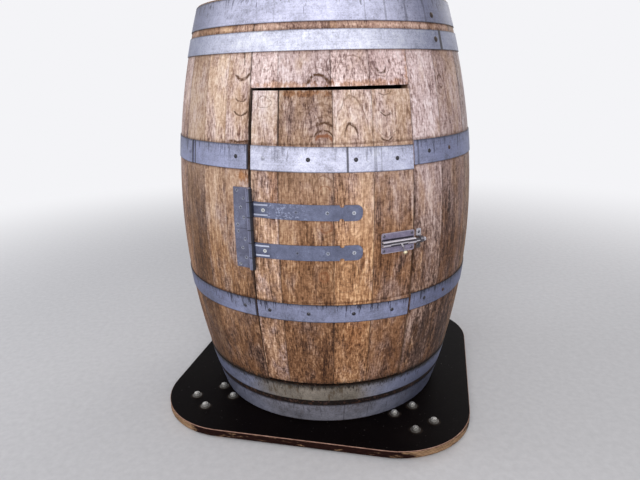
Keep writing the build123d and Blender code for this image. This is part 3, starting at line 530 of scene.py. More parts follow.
lintel_marks = [
    (dark_brown, -4.0, 0.800, 0.024, 0.020, 0.0056, 1, 1.0),
    (soft_brown, -4.0, 0.800, 0.031, 0.034, 0.0014, 1, 0.5),
    (dark_brown, 17.3, 0.836, 0.012, 0.016, 0.0026, -1, 0.95),
    (soft_brown, 17.3, 0.850, 0.024, 0.036, 0.0014, -1, 0.5),
    (soft_brown, 7.0, 0.795, 0.037, 0.062, 0.0014, 1, 0.5),
    (soft_brown, -22.0, 0.85, 0.012, 0.02, 0.0013, -1, 0.4),
]
left_marks = [
    (dark_brown, -31.0, 0.826, 0.016, 0.011, 0.0048, -1, 1.0),
    (soft_brown, -31.5, 0.838, 0.027, 0.020, 0.0014, -1, 0.6),
    (dark_brown, -31.3, 0.781, 0.014, 0.008, 0.0018, -1, 0.8),
    (dark_brown, -31.3, 0.757, 0.016, 0.009, 0.0030, -1, 0.95),
    (dark_brown, -31.5, 0.699, 0.021, 0.006, 0.0034, -1, 1.0),
]
right_marks = [
    (dark_brown, 43.8, 0.803, 0.008, 0.013, 0.0018, 0, 0.8),
    (soft_brown, 43.8, 0.803, 0.016, 0.028, 0.0014, 0, 0.45),
]

# Stains and, beside the hinges, painted shadow: colour, azimuth, height, half width, half height, strength
stain = rgb(128, 98, 76)
dark_stain = rgb(88, 66, 56)
purple_stain = rgb(142, 122, 126)
ochre_stain = rgb(222, 180, 122)
left_patches = [
    (dark_brown, -30.6, 0.852, 0.0025, 0.024, 0.7),
    (red_brown, -31.4, 0.712, 0.0025, 0.020, 0.6),
    (ochre_stain, -30.2, 0.625, 0.020, 0.016, 0.8),
    (stain, -29.0, 0.22, 0.008, 0.12, 0.6),
    (stain, -28.6, 0.76, 0.005, 0.10, 0.4),
]
right_patches = [
    (dark_stain, 45.6, 0.545, 0.008, 0.05, 0.8),
    (purple_stain, 47.0, 0.50, 0.035, 0.12, 0.5),
    (dark_stain, 42.0, 0.25, 0.014, 0.10, 0.6),
    (dark_stain, 51.0, 0.22, 0.070, 0.15, 0.75),
]
jamb_patches = [
    (stain, 28.4, 0.52, 0.004, 0.28, 0.6),
    (purple_stain, 34.0, 0.42, 0.04, 0.10, 0.5),
    (dark_stain, 36.0, 0.23, 0.05, 0.14, 0.65),
]
lintel_patches = [
    (ochre_stain, -14.0, 0.803, 0.10, 0.008, 0.6),
    (ochre_stain, 12.0, 0.803, 0.10, 0.008, 0.6),
    (ochre_stain, 27.0, 0.82, 0.006, 0.05, 0.6),
]
# Painted shadow on the door just right of the hinges' knuckles
hinge_shade = rgb(40, 30, 26)
door_patches = {
    1: [
        (stain, -26.6, 0.24, 0.006, 0.10, 0.6),
        (ochre_stain, -19.0, 0.62, 0.012, 0.10, 0.4),
        (hinge_shade, -25.85, 0.605, 0.0020, 0.03, 0.4),
        (hinge_shade, -25.85, 0.518, 0.0022, 0.06, 0.5),
        (hinge_shade, -25.85, 0.440, 0.0022, 0.04, 0.5),
    ],
    2: [
        (stain, -14.0, 0.745, 0.030, 0.040, 0.35),
        (ochre_stain, -9.0, 0.787, 0.07, 0.007, 0.7),
        (purple_stain, -4.0, 0.235, 0.03, 0.05, 0.4),
    ],
    3: [
        (ochre_stain, 7.0, 0.30, 0.03, 0.08, 0.35),
        (red_brown, 9.5, 0.45, 0.006, 0.03, 0.35),
    ],
    4: [
        (stain, 26.6, 0.40, 0.006, 0.22, 0.5),
        (stain, 20.0, 0.22, 0.012, 0.09, 0.4),
        (red_brown, 26.3, 0.56, 0.004, 0.05, 0.5),
    ],
}

for number in range(1, 5):
    index = number - 1
    material = wood(
        f"oak_door_{number}", 20 + number, door_joints[index:number + 1], [door_tints[index]],
        door_rose[index], door_marks[number], door_patches[number], door_lean,
        door_joint_shares[index:number + 1], gap_brown if number == 4 else shade_and_soot_black,
    )
    dress(f"door_stave_{number}", material)
lintel_oak = wood(
    "oak_lintel", 31, door_joints, lintel_tints, (0.85, 0.5), lintel_marks, lintel_patches, 0.0,
    lintel_joint_shares,
)
dress("lintel_staves", lintel_oak)
dress("sill_staves", wood("oak_sill", 32, door_joints, sill_tints, (0.5, 0.4)))

# Staves beside the doorway: upper and lower tints, and the pinkish grey in them
side_tints = {
    19: ((1.02, 1.00, 0.98), (0.98, 0.97, 0.95), (0.5, 0.4)),
    18: ((1.03, 1.01, 0.98), (0.98, 0.97, 0.95), (0.4, 0.4)),
    17: ((0.86, 0.82, 0.78), (0.72, 0.69, 0.66), (0.4, 0.3)),
    1: ((1.03, 1.02, 1.03), (1.02, 1.01, 1.00), (0.8, 0.7)),
    2: ((0.92, 0.89, 0.88), (0.80, 0.76, 0.75), (0.6, 0.5)),
}
# Staves beside the doorway: number, joints and their darkness, figure, stains, gap's colour and wavy grain
side_staves = [
    (19, left_joints[2:], [faint_joint, doorway_joint], left_marks, left_patches, shade_and_soot_black, 0.0),
    (18, left_joints[1:3], [faint_joint, faint_joint], (), (), shade_and_soot_black, 0.0),
    (17, left_joints[:2], [faint_joint, faint_joint], (), (), shade_and_soot_black, 0.0),
    (1, right_joints[:2], [faint_joint, plain_joint], (), jamb_patches, gap_brown, 1.0),
    (2, right_joints[1:], [plain_joint, faint_joint], right_marks, right_patches, shade_and_soot_black, 0.4),
]
for number, edges, shares, marks, patches, gap, curl in side_staves:
    above, below, rose = side_tints[number]
    material = wood(
        f"oak_{number:02d}", number, edges, [(above, below)], rose, marks, patches, 0.0, shares, gap, curl,
    )
    dress(f"stave_{number:02d}", material)

back_joints = [(0.65, 0.7)] * 2
back_draw = random.Random(7)
back_start = right_joints[-1]
back_arc = 360 + left_joints[0] - back_start
covered = 0.0
for number, share in enumerate(back_shares, 3):
    start = back_start + back_arc * covered / sum(back_shares)
    covered += share
    end = back_start + back_arc * covered / sum(back_shares)
    turn = 360 if (start + end) / 2 > 180 else 0
    lightness = back_draw.uniform(0.86, 1.03)
    warmth = back_draw.uniform(-0.03, 0.03)
    tint = (lightness + warmth, lightness, lightness - warmth)
    rose = (back_draw.uniform(0.3, 0.8), back_draw.uniform(0.2, 0.7))
    curl = back_draw.uniform(0.0, 0.7)
    material = wood(
        f"oak_{number:02d}", number, [start - turn, end - turn], [(tint, tint)], rose, joints=back_joints,
        curl=curl,
    )
    dress(f"stave_{number:02d}", material)


def plain_oak(name, seed, stops, along, rough, board=0.0):
    """Sawn oak; along is the axis that its grain runs on, and board the width of boards that make it up."""
    g = Graph(name)
    shift = drawn_shift(seed)
    broad = [80, 80, 80]
    narrow = [300, 300, 300]
    broad[along] = 4
    narrow[along] = 10
    streak = g.spread(broad, shift, detail=5, rough=0.6, warp=0.4)
    fine = g.spread(narrow, shift, detail=6, rough=0.65)
    fleck = g.spread((190, 190, 190), shift, detail=4, rough=0.65)
    cloud = g.spread((7, 7, 7), shift, detail=4)
    tone = g.sum_of(0.5, (streak, 1.1), (fine, 1.3), (fleck, 0.8), (cloud, 0.9))
    if board:
        at = g.times(from_axis(g)[0], 1 / board)
        drawn = g.noise(g.vector(g.times(g.math("FLOOR", at), 3.7), shift[0], shift[1]), detail=0)
        tone = g.add(tone, g.sum_of(0.0, (drawn, 0.7)))
    colour = g.ramp(tone, screen(stops))
    if board:
        from_middle = g.size(g.less(g.math("FRACT", at), 0.5))
        ragged = g.add(from_middle, g.sum_of(0.0, (fine, 0.02)))
        joint = g.smooth(ragged, 0.5 - 0.0020 / board, 0.5 - 0.0008 / board)
        colour = g.mix((joint, 0.85), colour, old_line)
    surface = g.sum_of(rough, (fine, 0.25))
    relief = g.sum_of(0.0, (fine, 0.8), (fleck, 0.5))
    return g.finish(colour, surface, 0.0, g.bump(relief, 0.0009, 0.8), 0.25)


head_stops = [(0.05, (92, 70, 58)), (0.4, (152, 124, 106)), (0.65, (182, 155, 138)), (0.95, (218, 196, 180))]
low_stops = [(0.05, (58, 38, 30)), (0.45, (104, 70, 52)), (0.95, (150, 112, 86))]
batten_stops = [(0.05, (110, 78, 52)), (0.45, (176, 138, 100)), (0.95, (216, 184, 146))]
bung_stops = [(0.05, (104, 76, 52)), (0.45, (172, 136, 100)), (0.95, (216, 186, 150))]
head_board = 0.0948
dress("top_head", plain_oak("oak_top_head", 51, head_stops, 1, 0.64, head_board))
dress("bottom_head", plain_oak("oak_bottom_head", 52, low_stops, 1, 0.66, head_board))
dress("door_battens", plain_oak("oak_batten", 53, batten_stops, 0, 0.6))
dress("bung", plain_oak("bung_wood", 54, bung_stops, 2, 0.6))


# Galvanised hoops

# Azimuth where the hoops' painted reflection of the front light is brightest, and where the rust in front is
# centred
brightest_azimuth = -8


def galvanised(name, seed, low, high, middle, painted_flank_light, drips, rust, soot, dark_seams_and_step_shade, lean=0.0):
    """Zinc-coated hoop with painted shade round the barrel's flanks and back, with fine speckle, stains that
    run down from its upper edge, rust in front, soot along its upper edge and seam lines, some of them
    painted shade at lap steps."""
    g = Graph(name)
    arc = barrel_arc(g)
    shift = drawn_shift(seed)
    fall = math.tan(math.radians(lean))
    level = g.add(g.z, g.times(g.less(arc, arc_at(door_joints[0])), fall))
    spangle = g.cells(g.place, 230)
    mottle = g.spread((60, 60, 60), shift, detail=5, rough=0.7)
    cloud = g.spread((16, 16, 22), shift, detail=3)
    rolled = g.spread((12, 12, 400), shift, detail=3)
    speck = g.spread((330, 330, 330), shift, detail=3, rough=0.65)
    run = g.spread((170, 170, 6), shift, detail=5, rough=0.65)
    tone = g.sum_of(0.5, (mottle, 0.9), (cloud, 0.9), (rolled, 0.3), (speck, 1.0), (spangle, 0.1))
    dark = [value * 0.74 for value in middle]
    pale = [min(value * 1.17, 250) for value in middle]
    colour = g.ramp(tone, screen([(0.15, dark), (0.5, middle), (0.85, pale)]))
    # Painted shade round the flanks and back, as the reflection of the front light falls off away from the
    # front
    from_front = g.size(g.less(arc, arc_at(brightest_azimuth)))
    from_front = g.add(from_front, g.sum_of(0.0, (cloud, 0.10)))
    dull = g.smooth(from_front, arc_at(20), arc_at(56))
    colour = g.shade(dull, colour, tint_of((painted_flank_light, painted_flank_light + 0.01, painted_flank_light + 0.06)))
    colour = g.shade((g.smooth(speck, 0.61, 0.70), 0.6), colour, rgb(128, 124, 134))

    from_top = g.times(g.less(high, level), 1 / (high - low))
    drip = g.smooth(g.less(run, g.times(from_top, 0.20)), 0.49, 0.57)
    colour = g.shade((drip, drips), colour, rgb(70, 68, 84))
    ragged = g.add(from_top, g.sum_of(0.0, (run, 0.16)))
    rim = g.largest(g.smooth(ragged, 0.08, 0.0), g.smooth(from_top, 0.955, 1.0))
    colour = g.shade((rim, 0.75), colour, rgb(84, 78, 86))
    rust_noise = g.spread((170, 170, 9), shift[::-1], detail=5, rough=0.65)
    rusty = g.smooth(g.less(rust_noise, g.times(from_top, 0.10)), 0.44, 0.58)
    in_front = g.smooth(from_front, arc_at(34), arc_at(14))
    colour = g.shade((in_front, rust), colour, rgb(252, 226, 168))
    colour = g.mix((rusty, in_front, rust, 0.85), colour, rgb(82, 64, 42))
    sooty = g.smooth(g.add(from_top, g.sum_of(0.0, (run, 1.4))), 0.30, 0.0)
    colour = g.mix((sooty, soot), colour, rgb(34, 27, 22))
    # Seam lines are dark; those at lap steps and where the hoops meet the doorway are painted shade
    for azimuth, half_width, share in dark_seams_and_step_shade:
        beside = g.size(g.less(arc, arc_at(azimuth)))
        ragged = g.add(beside, g.sum_of(0.0, (run, half_width * 0.6)))
        line = g.smooth(ragged, half_width, half_width * 0.7)
        colour = g.mix((line, share), colour, rgb(36, 34, 46))
    rough = g.add(g.sum_of(0.52, (mottle, 0.3)), g.times(drip, 0.12))
    relief = g.sum_of(0.0, (mottle, 0.5), (speck, 0.4))
    return g.finish(colour, rough, 0.2, g.bump(relief, 0.0004, 0.4))


# Looks of the hoops: seed, middle colour (paler high up and darker low down, partly painted light), painted
# shade of the flanks, shares of drips, rust and soot, dark seams (some painted shade at steps)
top_head_seams = (
    (21.0, 0.003, 0.35), (13.0, 0.0015, 0.3), (30.0, 0.004, 0.4), (40.0, 0.003, 0.4), (-20.0, 0.0015, 0.2),
)
bottom_head_seams = ((4.0, 0.0015, 0.5), (15.0, 0.0012, 0.5))
hoop_looks = {
    "top_head_hoop": (61, (193, 194, 218), 0.52, 0.6, 0.0, 0.1, top_head_seams),
    "top_quarter_hoop": (62, (206, 208, 228), 0.60, 0.15, 0.0, 0.0, ((47.75, 0.0066, 1.0),)),
    "upper_bilge_hoop": (
        63, (156, 160, 188), 0.74, 0.6, 0.04, 0.15,
        ((-54.1, 0.0026, 1.0), (-55.8, 0.0024, 1.0), (29.4, 0.003, 0.5), (-28.1, 0.0020, 1.0)),
    ),
    "lower_bilge_hoop": (64, (134, 139, 168), 0.70, 0.9, 0.06, 0.35, ((-28.05, 0.0018, 0.9),)),
    "bottom_quarter_hoop": (65, (138, 142, 164), 0.74, 0.8, 0.85, 0.95, ()),
    "bottom_head_hoop": (66, (140, 142, 160), 0.62, 0.45, 0.22, 0.0, bottom_head_seams),
}
for name, (seed, *look) in hoop_looks.items():
    dress(name, galvanised(f"zinc_{name}", seed, *hoop_edges[name], *look))
door_hoop_tilt = 1.3
left_end = (-27.5, 0.0018, 0.9)
door_seams = (left_end, (4.6, 0.0026, 0.85), (13.6, 0.004, 0.35), (15.6, 0.002, 0.25))
# Door's hoop pieces, as above; the upper one's pale middle colour is partly painted light from the front
door_hoop_looks = {
    "upper": (67, (198, 200, 223), 0.9, 0.45, 0.02, 0.15, door_seams),
    "lower": (68, (134, 139, 168), 0.9, 0.95, 0.05, 0.4, (left_end,)),
}
for side, (seed, *look) in door_hoop_looks.items():
    edges = hoop_edges[f"{side}_bilge_hoop"]
    material = galvanised(f"zinc_{side}_door", seed, *edges, *look, door_hoop_tilt)
    dress(f"{side}_door_hoop", material)


# Fittings

def metal(name, seed, stops, metallic, rough, grime, grain=70.0, wear=None):
    """Plated metal with mottling and grime in patches; wear changes its colour by place, by real wear or by
    painted light and shade.
    """
    g = Graph(name)
    shift = drawn_shift(seed)
    mottle = g.spread((grain, grain, grain), shift, detail=5, rough=0.7)
    scuff = g.spread((480, 480, 480), shift, detail=3, rough=0.6)
    cloud = g.spread((22, 22, 22), shift, detail=3)
    tone = g.sum_of(0.5, (mottle, 0.8), (cloud, 0.6), (scuff, 0.5))
    colour = g.ramp(tone, screen(stops))
    patch = g.spread((120, 120, 120), shift[::-1], detail=4, rough=0.6)
    colour = g.shade((g.smooth(patch, 0.56, 0.7), grime), colour, rgb(104, 98, 100))
    if wear:
        colour = wear(g, colour)
    surface = g.sum_of(rough, (mottle, 0.3))
    relief = g.sum_of(0.0, (mottle, 0.5), (scuff, 0.4))
    return g.finish(colour, surface, metallic, g.bump(relief, 0.0003, 0.4))


# Heights at which knuckles meet, and heights between the hinges and between the door's hoops
knuckle_ends = (0.4587, 0.4907, 0.5180, 0.5453, 0.5773)
between_hinges = (0.515, 0.525)
between_door_hoops = (0.45, 0.55)

# Half the width of a knuckle, and how far along a strap the tints of its screws are given
knuckle_reach = 0.0066
strap_reach = 0.25


def hinge_wear_and_painted_light(g, colour):
    """Bright worn ribs and scuffs on the straps, a painted highlight on each knuckle's left side, and
    painted shade beside the knuckles and where they meet.
    """
    reach = g.less(barrel_arc(g), arc_at(hinge_azimuth))
    depth = barrel_depth(g)
    rib = g.times(g.smooth(depth, -0.0031, -0.0040), g.band(reach, 0.0085, 0.0405, 0.001))
    upper = g.smooth(g.z, *between_hinges)
    colour = g.mix((rib, g.add(0.9, g.times(upper, -0.3))), colour, rgb(206, 212, 232))
    under_rib = g.times(g.smooth(depth, -0.0034, -0.0029), g.band(reach, 0.008, 0.041, 0.001))
    colour = g.shade((under_rib, 0.18), colour, rgb(84, 84, 100))
    scuff = g.spread((260, 260, 320), detail=4, rough=0.7)
    handled = g.smooth(g.spread((60, 60, 90), detail=3), 0.44, 0.60)
    scuffed = g.times(g.smooth(scuff, 0.46, 0.64), handled, g.band(reach, 0.045, 0.100, 0.03), upper)
    colour = g.mix((scuffed, 0.65), colour, rgb(182, 190, 220))
    # Painted highlight on the knuckle's left side, painted shade in the crease beside the leaf and painted
    # shadow on its right side
    painted_flank_light = g.band(reach, -0.0052, -0.0022, 0.0010)
    colour = g.mix((painted_flank_light, 0.4), colour, rgb(156, 156, 190))
    painted_crease_shade = g.band(reach, -0.0078, -knuckle_reach, 0.0008)
    painted_knuckle_shadow = g.band(reach, 0.0034, 0.0062, 0.0008)
    colour = g.shade((g.largest(painted_crease_shade, painted_knuckle_shadow), 0.92), colour, rgb(52, 47, 54))
    # Painted shade where the knuckles meet
    painted_knuckle_joint_shade = [g.smooth(g.size(g.less(g.z, height)), 0.0014, 0.0006) for height in knuckle_ends]
    knuckle = g.band(reach, -knuckle_reach, knuckle_reach, 0.0005)
    return g.shade((g.largest(*painted_knuckle_joint_shade), knuckle, 0.8), colour, rgb(60, 56, 64))


def slot_dirt_and_shade(g, colour):
    """Darker drive slots in the hinges' flat screw heads: grime and painted shade in the recess."""
    return g.mix(g.smooth(barrel_depth(g), -0.0027, -0.0022), colour, rgb(24, 21, 24))


def strap_screw_wear(g, colour):
    """Slot grime and painted shade, and dull heads on all but the screws nearest to the pin and the tip."""
    reach = g.less(barrel_arc(g), arc_at(hinge_azimuth))
    stops = [(0.0, rgb(255, 255, 250)), (0.28, rgb(134, 138, 160)), (0.56, rgb(176, 180, 196))]
    stops.append((0.80, rgb(226, 228, 236)))
    dulled = g.shade(1.0, colour, g.ramp(g.times(reach, 1 / strap_reach), stops, "CONSTANT"))
    return slot_dirt_and_shade(g, dulled)


def far_rust(g, colour):
    """Rust on the screws far to the right of the doorway."""
    far = g.smooth(barrel_arc(g), arc_at(41.5), arc_at(43.5))
    return g.mix((far, 0.85), colour, rgb(70, 44, 34))


def first_pale(g, colour):
    """Bright head on the upper hoop's first screw, beside the hinge."""
    first = g.smooth(barrel_arc(g), arc_at(-19), arc_at(-21))
    return g.mix((first, g.smooth(g.z, *between_door_hoops), 0.75), colour, rgb(188, 190, 206))


def rivet_wear(g, colour):
    """Zinc left on the rivets round the left side."""
    plated = g.smooth(barrel_arc(g), -0.02, -0.06)
    return g.mix((plated, 0.85), colour, rgb(122, 126, 152))


def latch_places(g):
    """Place in the latch's own frame: along the bolt, up, and out from the wood."""
    turn = math.radians(latch_azimuth)
    x, y = from_axis(g)
    along = g.add(g.times(x, math.cos(turn)), g.times(y, math.sin(turn)))
    out = g.less(g.times(x, math.sin(turn)), g.times(y, math.cos(turn)))
    return along, g.less(g.z, latch_height), g.less(out, bilge_radius)


def housing_painted_light(g, colour):
    """Painted highlights on the hood's upper and lower edges with painted shadow between them, painted shade
    in its folds, and bright plate edges."""
    along, up, out = latch_places(g)
    beside = g.size(up)
    painted_fold_shade = g.times(g.band(beside, 0.0056, 0.0086, 0.0010), g.smooth(out, 0.0044, 0.0028))
    colour = g.shade((painted_fold_shade, 0.9), colour, rgb(58, 52, 60))
    # The hood is painted dark as the shadow in its slot, under the painted highlights
    hood = g.smooth(out, 0.0036, 0.0056)
    colour = g.mix((hood, 0.95), colour, rgb(52, 46, 52))
    painted_shoulder_highlight = g.times(hood, g.smooth(up, 0.0034, 0.0044))
    colour = g.mix((painted_shoulder_highlight, 0.95), colour, rgb(236, 230, 238))
    painted_lip_highlight = g.times(hood, g.band(up, -0.0054, -0.0008, 0.0008))
    colour = g.mix((painted_lip_highlight, 0.9), colour, rgb(222, 216, 226))
    far = g.largest(g.smooth(beside, 0.0200, 0.0212), g.smooth(g.size(along), 0.0370, 0.0382))
    return g.mix((far, g.smooth(out, 0.0050, 0.0030), 0.5), colour, rgb(198, 190, 200))


def bolt_shade_and_highlight(g, colour):
    """Polished front of the bolt, with painted shadow along its upper side and painted shade below, and a
    painted highlight atop its tip.
    """
    along, up, _ = latch_places(g)
    painted_bolt_shadow = g.largest(g.smooth(up, -0.0012, 0.0002), g.smooth(up, -0.0036, -0.0042))
    colour = g.shade((painted_bolt_shadow, 0.93), colour, rgb(56, 50, 56))
    painted_nose_highlight = g.smooth(along, 0.0500, 0.0520)
    return g.mix((painted_nose_highlight, g.smooth(up, 0.0000, 0.0012), 0.8), colour, rgb(214, 208, 216))


def knob_wear(g, colour):
    """Cream end on a dull stem, bright at its root."""
    _, up, out = latch_places(g)
    reach = g.times(g.less(g.less(out, latch_axis_out), up), math.sqrt(0.5))
    colour = g.shade((g.smooth(reach, 0.0105, 0.0125), 0.85), colour, rgb(150, 144, 156))
    return g.mix(g.smooth(reach, 0.0222, 0.0236), colour, rgb(240, 226, 188))


def keeper_shade_and_highlight(g, colour):
    """Darker lower ear, and painted shade all over the keeper's arch but for a painted highlight at its top.
    """
    _, up, out = latch_places(g)
    colour = g.shade((g.smooth(up, -0.004, -0.009), 0.9), colour, rgb(92, 74, 62))
    painted_loop_shade = g.band(g.size(up), 0.0, 0.0064, 0.0008)
    colour = g.shade((painted_loop_shade, 0.9), colour, rgb(84, 77, 84))
    painted_crown_highlight = g.times(painted_loop_shade, g.smooth(out, 0.0105, 0.0120), g.smooth(up, 0.0010, 0.0030))
    return g.mix((painted_crown_highlight, 0.5), colour, rgb(196, 190, 198))


strap_stops = [(0.1, (70, 74, 96)), (0.45, (95, 100, 125)), (0.68, (113, 119, 146)), (0.92, (172, 179, 204))]
leaf_stops = [(0.1, (74, 76, 95)), (0.5, (100, 102, 124)), (0.92, (146, 152, 180))]
bright_stops = shades((190, 184, 194), (226, 222, 230), (246, 245, 249))
keeper_stops = shades((150, 146, 154), (190, 186, 194), (226, 224, 230))
plate_stops = shades((96, 90, 110), (132, 124, 147), (182, 174, 196))
screw_stops = shades((160, 162, 168), (218, 220, 224), (246, 247, 249))
leaf_screw_stops = shades((70, 72, 88), (128, 131, 150), (236, 238, 244))
dull_screw_stops = shades((54, 50, 58), (88, 84, 94), (150, 148, 158))
dark_stops = shades((24, 22, 25), (48, 46, 52), (100, 100, 112))
stem_stops = shades((130, 126, 132), (188, 184, 190), (232, 230, 234))
nut_stops = shades((108, 106, 102), (180, 178, 174), (245, 244, 241))
washer_stops = shades((54, 50, 47), (88, 84, 80), (138, 134, 129))
foot_stops = shades((56, 58, 62), (86, 88, 94), (124, 126, 132))
rivet_stops = shades((30, 23, 21), (54, 42, 37), (116, 100, 92))

# Seed, ramp, share of metal, roughness, grime, grain and wear (real wear or painted light and shade) of each
# metal
strap_zinc = metal("zinc_strap", 71, strap_stops, 0.2, 0.48, 0.25, 70.0, hinge_wear_and_painted_light)
leaf_zinc = metal("zinc_leaf", 72, leaf_stops, 0.2, 0.5, 0.3, 70.0, hinge_wear_and_painted_light)
for side in ("upper", "lower"):
    dress(f"{side}_hinge_strap", strap_zinc)
    dress(f"{side}_hinge_leaf", leaf_zinc)
dress("hinge_pins", metal("zinc_pin", 73, screw_stops, 0.7, 0.35, 0.3))
dress("hinge_leaf_screws", metal("zinc_leaf_screw", 86, leaf_screw_stops, 0.4, 0.4, 0.6, 160.0, slot_dirt_and_shade))
strap_screw_metal = metal("zinc_strap_screw", 74, screw_stops, 0.4, 0.36, 0.5, 160.0, strap_screw_wear)
dress("hinge_strap_screws", strap_screw_metal)
dress("latch_housing", metal("zinc_latch", 75, plate_stops, 0.4, 0.34, 0.2, 70.0, housing_painted_light))
dress("latch_bolt", metal("zinc_bolt", 76, bright_stops, 0.5, 0.26, 0.1, 70.0, bolt_shade_and_highlight))
dress("latch_keeper", metal("zinc_keeper", 83, keeper_stops, 0.4, 0.32, 0.2, 70.0, keeper_shade_and_highlight))
dress("latch_knob", metal("knob_metal", 77, stem_stops, 0.4, 0.3, 0.1, 70.0, knob_wear))
latch_screw_metal = metal("dull_latch_screw", 78, dull_screw_stops, 0.5, 0.36, 0.4, 300.0)
dress("latch_screws", latch_screw_metal)
dress("keeper_screws", latch_screw_metal)
dress("frame_hoop_screws", metal("dark_frame_screw", 84, dark_stops, 0.3, 0.42, 0.4, 300.0, far_rust))
dress("door_hoop_screws", metal("dark_door_screw", 79, dark_stops, 0.3, 0.40, 0.4, 420.0, first_pale))
dress("hoop_rivets", metal("rusty_rivet", 80, rivet_stops, 0.4, 0.5, 0.4, 200.0, rivet_wear))
nut_metal = metal("zinc_nut", 81, nut_stops, 0.5, 0.3, 0.3, 200.0)
dress("base_nuts", nut_metal)
dress("base_bolts", nut_metal)
dress("base_washers", metal("zinc_washer", 85, washer_stops, 0.4, 0.42, 0.4, 150.0))
dress("foot_plates", metal("foot_steel", 82, foot_stops, 0.5, 0.5, 0.4))
dress("barrel_screws", metal("zinc_barrel_screw", 87, dark_stops, 0.6, 0.36, 0.4, 300.0))


# Base board

def film_board():
    """Film-faced plywood: nearly black face, pale worn arris, plies and dark red edge paint at its sides."""
    g = Graph("film_plywood")
    top = barrel_foot
    arris = 0.0012
    two_plies = 0.0036
    worn_corner = (0.215, 0.30)
    turn = math.radians(-plate_yaw)
    across = g.less(g.times(g.x, math.cos(turn)), g.times(g.y, math.sin(turn)))
    along = g.add(g.times(g.x, math.sin(turn)), g.times(g.y, math.cos(turn)))
    far_x = g.size(across)
    far_y = g.size(along)
    cloud = g.spread((7, 7, 7), detail=4, rough=0.6)
    dust = g.spread((120, 120, 120), detail=5, rough=0.7)
    scratch = g.spread((24, 420, 60), detail=3)
    fleck = g.spread((260, 260, 260), detail=2)
    film = g.ramp(cloud, screen([(0.3, (6, 3, 4)), (0.6, (10, 6, 6)), (0.85, (18, 12, 12))]))
    film = g.mix((g.smooth(dust, 0.60, 0.8), 0.15), film, rgb(70, 62, 58))
    film = g.mix((g.smooth(scratch, 0.68, 0.78), 0.10), film, rgb(96, 86, 80))
    film = g.mix((g.smooth(fleck, 0.73, 0.77), 0.5), film, rgb(150, 144, 140))

    # Dirt round the bolts, which stand in fours on the diagonals
    root = math.sqrt(0.5)
    out = g.less(g.times(g.add(far_x, far_y), root), bolt_group_reach)
    beside = g.times(g.less(far_x, far_y), root)
    bolt_out = g.less(g.size(out), bolt_half_long)
    bolt_beside = g.less(g.size(beside), bolt_half_short)
    from_bolt = g.add(g.length(bolt_out, bolt_beside), g.sum_of(0.0, (dust, 0.012)))
    film = g.mix((g.smooth(from_bolt, 0.018, 0.012), 0.3), film, rgb(84, 72, 64))

    ply = g.math("SINE", g.times(g.z, 2 * math.pi / two_plies))
    wood_noise = g.spread((60, 60, 500), detail=4, rough=0.65)
    layers = g.add(g.times(ply, 0.22), wood_noise)
    bare = g.ramp(layers, screen([(0.2, (72, 50, 38)), (0.5, (146, 114, 86)), (0.85, (196, 162, 128))]))
    painted = g.ramp(wood_noise, screen([(0.3, (20, 11, 10)), (0.6, (40, 21, 18)), (0.85, (76, 47, 38))]))
    corner = g.times(g.smooth(far_x, *worn_corner), g.smooth(far_y, *worn_corner))
    wear = g.spread((26, 26, 120), detail=5, rough=0.7)
    bare_share = g.smooth(g.add(wear, g.times(corner, 0.22)), 0.56, 0.68)
    side = g.mix(bare_share, painted, bare)
    chip_noise = g.spread((110, 110, 110), detail=4)
    chip = g.add(g.z, g.sum_of(0.0, (chip_noise, 0.0012)))
    rim = g.smooth(chip, top - arris - 0.0008, top - arris)
    rim_stops = [(0.3, (120, 88, 76)), (0.6, (176, 140, 124)), (0.85, (216, 184, 168))]
    edge = g.mix(rim, side, g.ramp(wood_noise, screen(rim_stops)))
    face = g.smooth(g.z, top - 0.0003, top - 0.0001)
    colour = g.mix(face, edge, film)
    rough = g.add(g.times(face, -0.10), g.sum_of(0.66, (dust, 0.2)))
    relief = g.sum_of(0.0, (dust, 0.3), (wood_noise, 0.4))
    return g.finish(colour, rough, 0.0, g.bump(relief, 0.0003, 0.3), 0.03)


dress("base_plate", film_board())


# Floor, light and camera

backdrop_white = rgb(244, 244, 247)


def seen_otherwise(tree, share, lit, seen, output):
    """Puts out a shader that lights and, over a share, one that is seen, also by mirror or glass."""
    path = tree.nodes.new("ShaderNodeLightPath")
    rays = path.outputs["Is Camera Ray"]
    steps = [("MAXIMUM", path.outputs[name]) for name in ("Is Glossy Ray", "Is Transmission Ray")]
    if share is not None:
        steps.append(("MULTIPLY", share))
    for operation, other in steps:
        step = tree.nodes.new("ShaderNodeMath")
        step.operation = operation
        tree.links.new(rays, step.inputs[0])
        tree.links.new(other, step.inputs[1])
        rays = step.outputs[0]
    blend = tree.nodes.new("ShaderNodeMixShader")
    for socket, end in zip((rays, lit, seen), blend.inputs):
        tree.links.new(socket, end)
    tree.links.new(blend.outputs[0], tree.nodes[output].inputs["Surface"])


def make_floor():
    """Pale floor that fades into the backdrop away from the barrel."""
    half = 7.0
    fade = (1.1, 3.2)
    mesh = bpy.data.meshes.new("floor")
    corners = [(-half, -half, 0), (half, -half, 0), (half, half, 0), (-half, half, 0)]
    mesh.from_pydata(corners, [], [(0, 1, 2, 3)])
    floor = bpy.data.objects.new("floor", mesh)
    bpy.context.scene.collection.objects.link(floor)
    g = Graph("floor_pale")
    far = g.length(g.x, g.y)
    speck = g.spread((60, 60, 60), detail=4, rough=0.6)
    colour = g.ramp(speck, [(0.3, rgb(206, 205, 207)), (0.7, rgb(216, 215, 217))])
    g.finish(colour, 0.7, 0.0, None, 0.2)
    glow = g.node("Emission")
    glow.inputs["Color"].default_value = backdrop_white
    share = g.smooth(far, *fade)
    seen_otherwise(g.tree, share, g.shader.outputs[0], glow.outputs[0], "Material Output")
    mesh.materials.append(g.material)


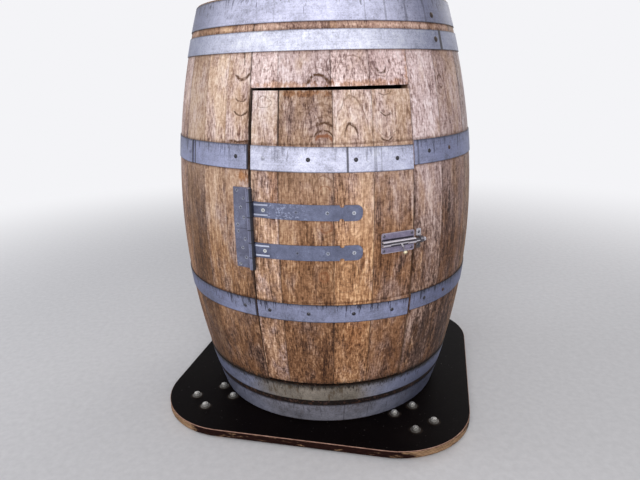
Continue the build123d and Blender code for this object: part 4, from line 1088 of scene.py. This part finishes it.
def make_world():
    """Soft light from all round, and a plain backdrop where the world itself is seen."""
    world = bpy.data.worlds.new("studio")
    bpy.context.scene.world = world
    world.use_nodes = True
    tree = world.node_tree
    background = tree.nodes["Background"]
    background.inputs["Color"].default_value = (0.93, 0.95, 1.0, 1.0)
    background.inputs["Strength"].default_value = 0.42
    backdrop = tree.nodes.new("ShaderNodeBackground")
    backdrop.inputs["Color"].default_value = backdrop_white
    backdrop.inputs["Strength"].default_value = 1.0
    seen_otherwise(tree, None, background.outputs[0], backdrop.outputs[0], "World Output")


def make_light(name, place, size, power, colour):
    """Lamp that points at the barrel's middle."""
    data = bpy.data.lights.new(name, "AREA")
    data.shape = "RECTANGLE"
    data.size, data.size_y = size
    data.energy = power
    data.color = colour
    lamp = bpy.data.objects.new(name, data)
    bpy.context.scene.collection.objects.link(lamp)
    lamp.location = place
    target = Vector((0.0, 0.0, 0.5))
    aim = target - Vector(place)
    lamp.rotation_euler = aim.to_track_quat("-Z", "Y").to_euler()


def make_camera():
    """Camera at the photograph's place: its tilt, turn and lens were fitted to the hoops."""
    place = Vector((-0.06866, -1.4307, 0.8209))
    pan = math.radians(1.811)
    pitch = math.radians(16.989)
    roll = math.radians(-1.280)
    forward = Vector((math.sin(pan) * math.cos(pitch), math.cos(pan) * math.cos(pitch), -math.sin(pitch)))
    right = Vector((math.cos(pan), -math.sin(pan), 0))
    up = right.cross(forward)
    turned_right = math.cos(roll) * right + math.sin(roll) * up
    turned_up = math.cos(roll) * up - math.sin(roll) * right
    data = bpy.data.cameras.new("camera")
    data.sensor_fit = "HORIZONTAL"
    data.sensor_width = 36.0
    data.lens = 30.465
    data.clip_start = 0.02
    data.clip_end = 60.0
    data.dof.use_dof = False
    camera = bpy.data.objects.new("camera", data)
    bpy.context.scene.collection.objects.link(camera)
    columns = Matrix((turned_right, turned_up, -forward)).transposed()
    camera.matrix_world = Matrix.Translation(place) @ columns.to_4x4()
    bpy.context.scene.camera = camera


make_floor()
make_world()
make_light("key", (-0.4, -3.0, 1.9), (3.0, 1.8), 66.0, (1.0, 0.99, 0.98))
make_light("side", (-3.0, 0.6, 1.8), (1.6, 1.8), 22.0, (0.95, 0.97, 1.0))
make_light("back", (2.2, 2.4, 2.2), (2.0, 1.6), 30.0, (1.0, 0.98, 0.96))
make_camera()
bpy.context.scene.view_settings.view_transform = "Standard"
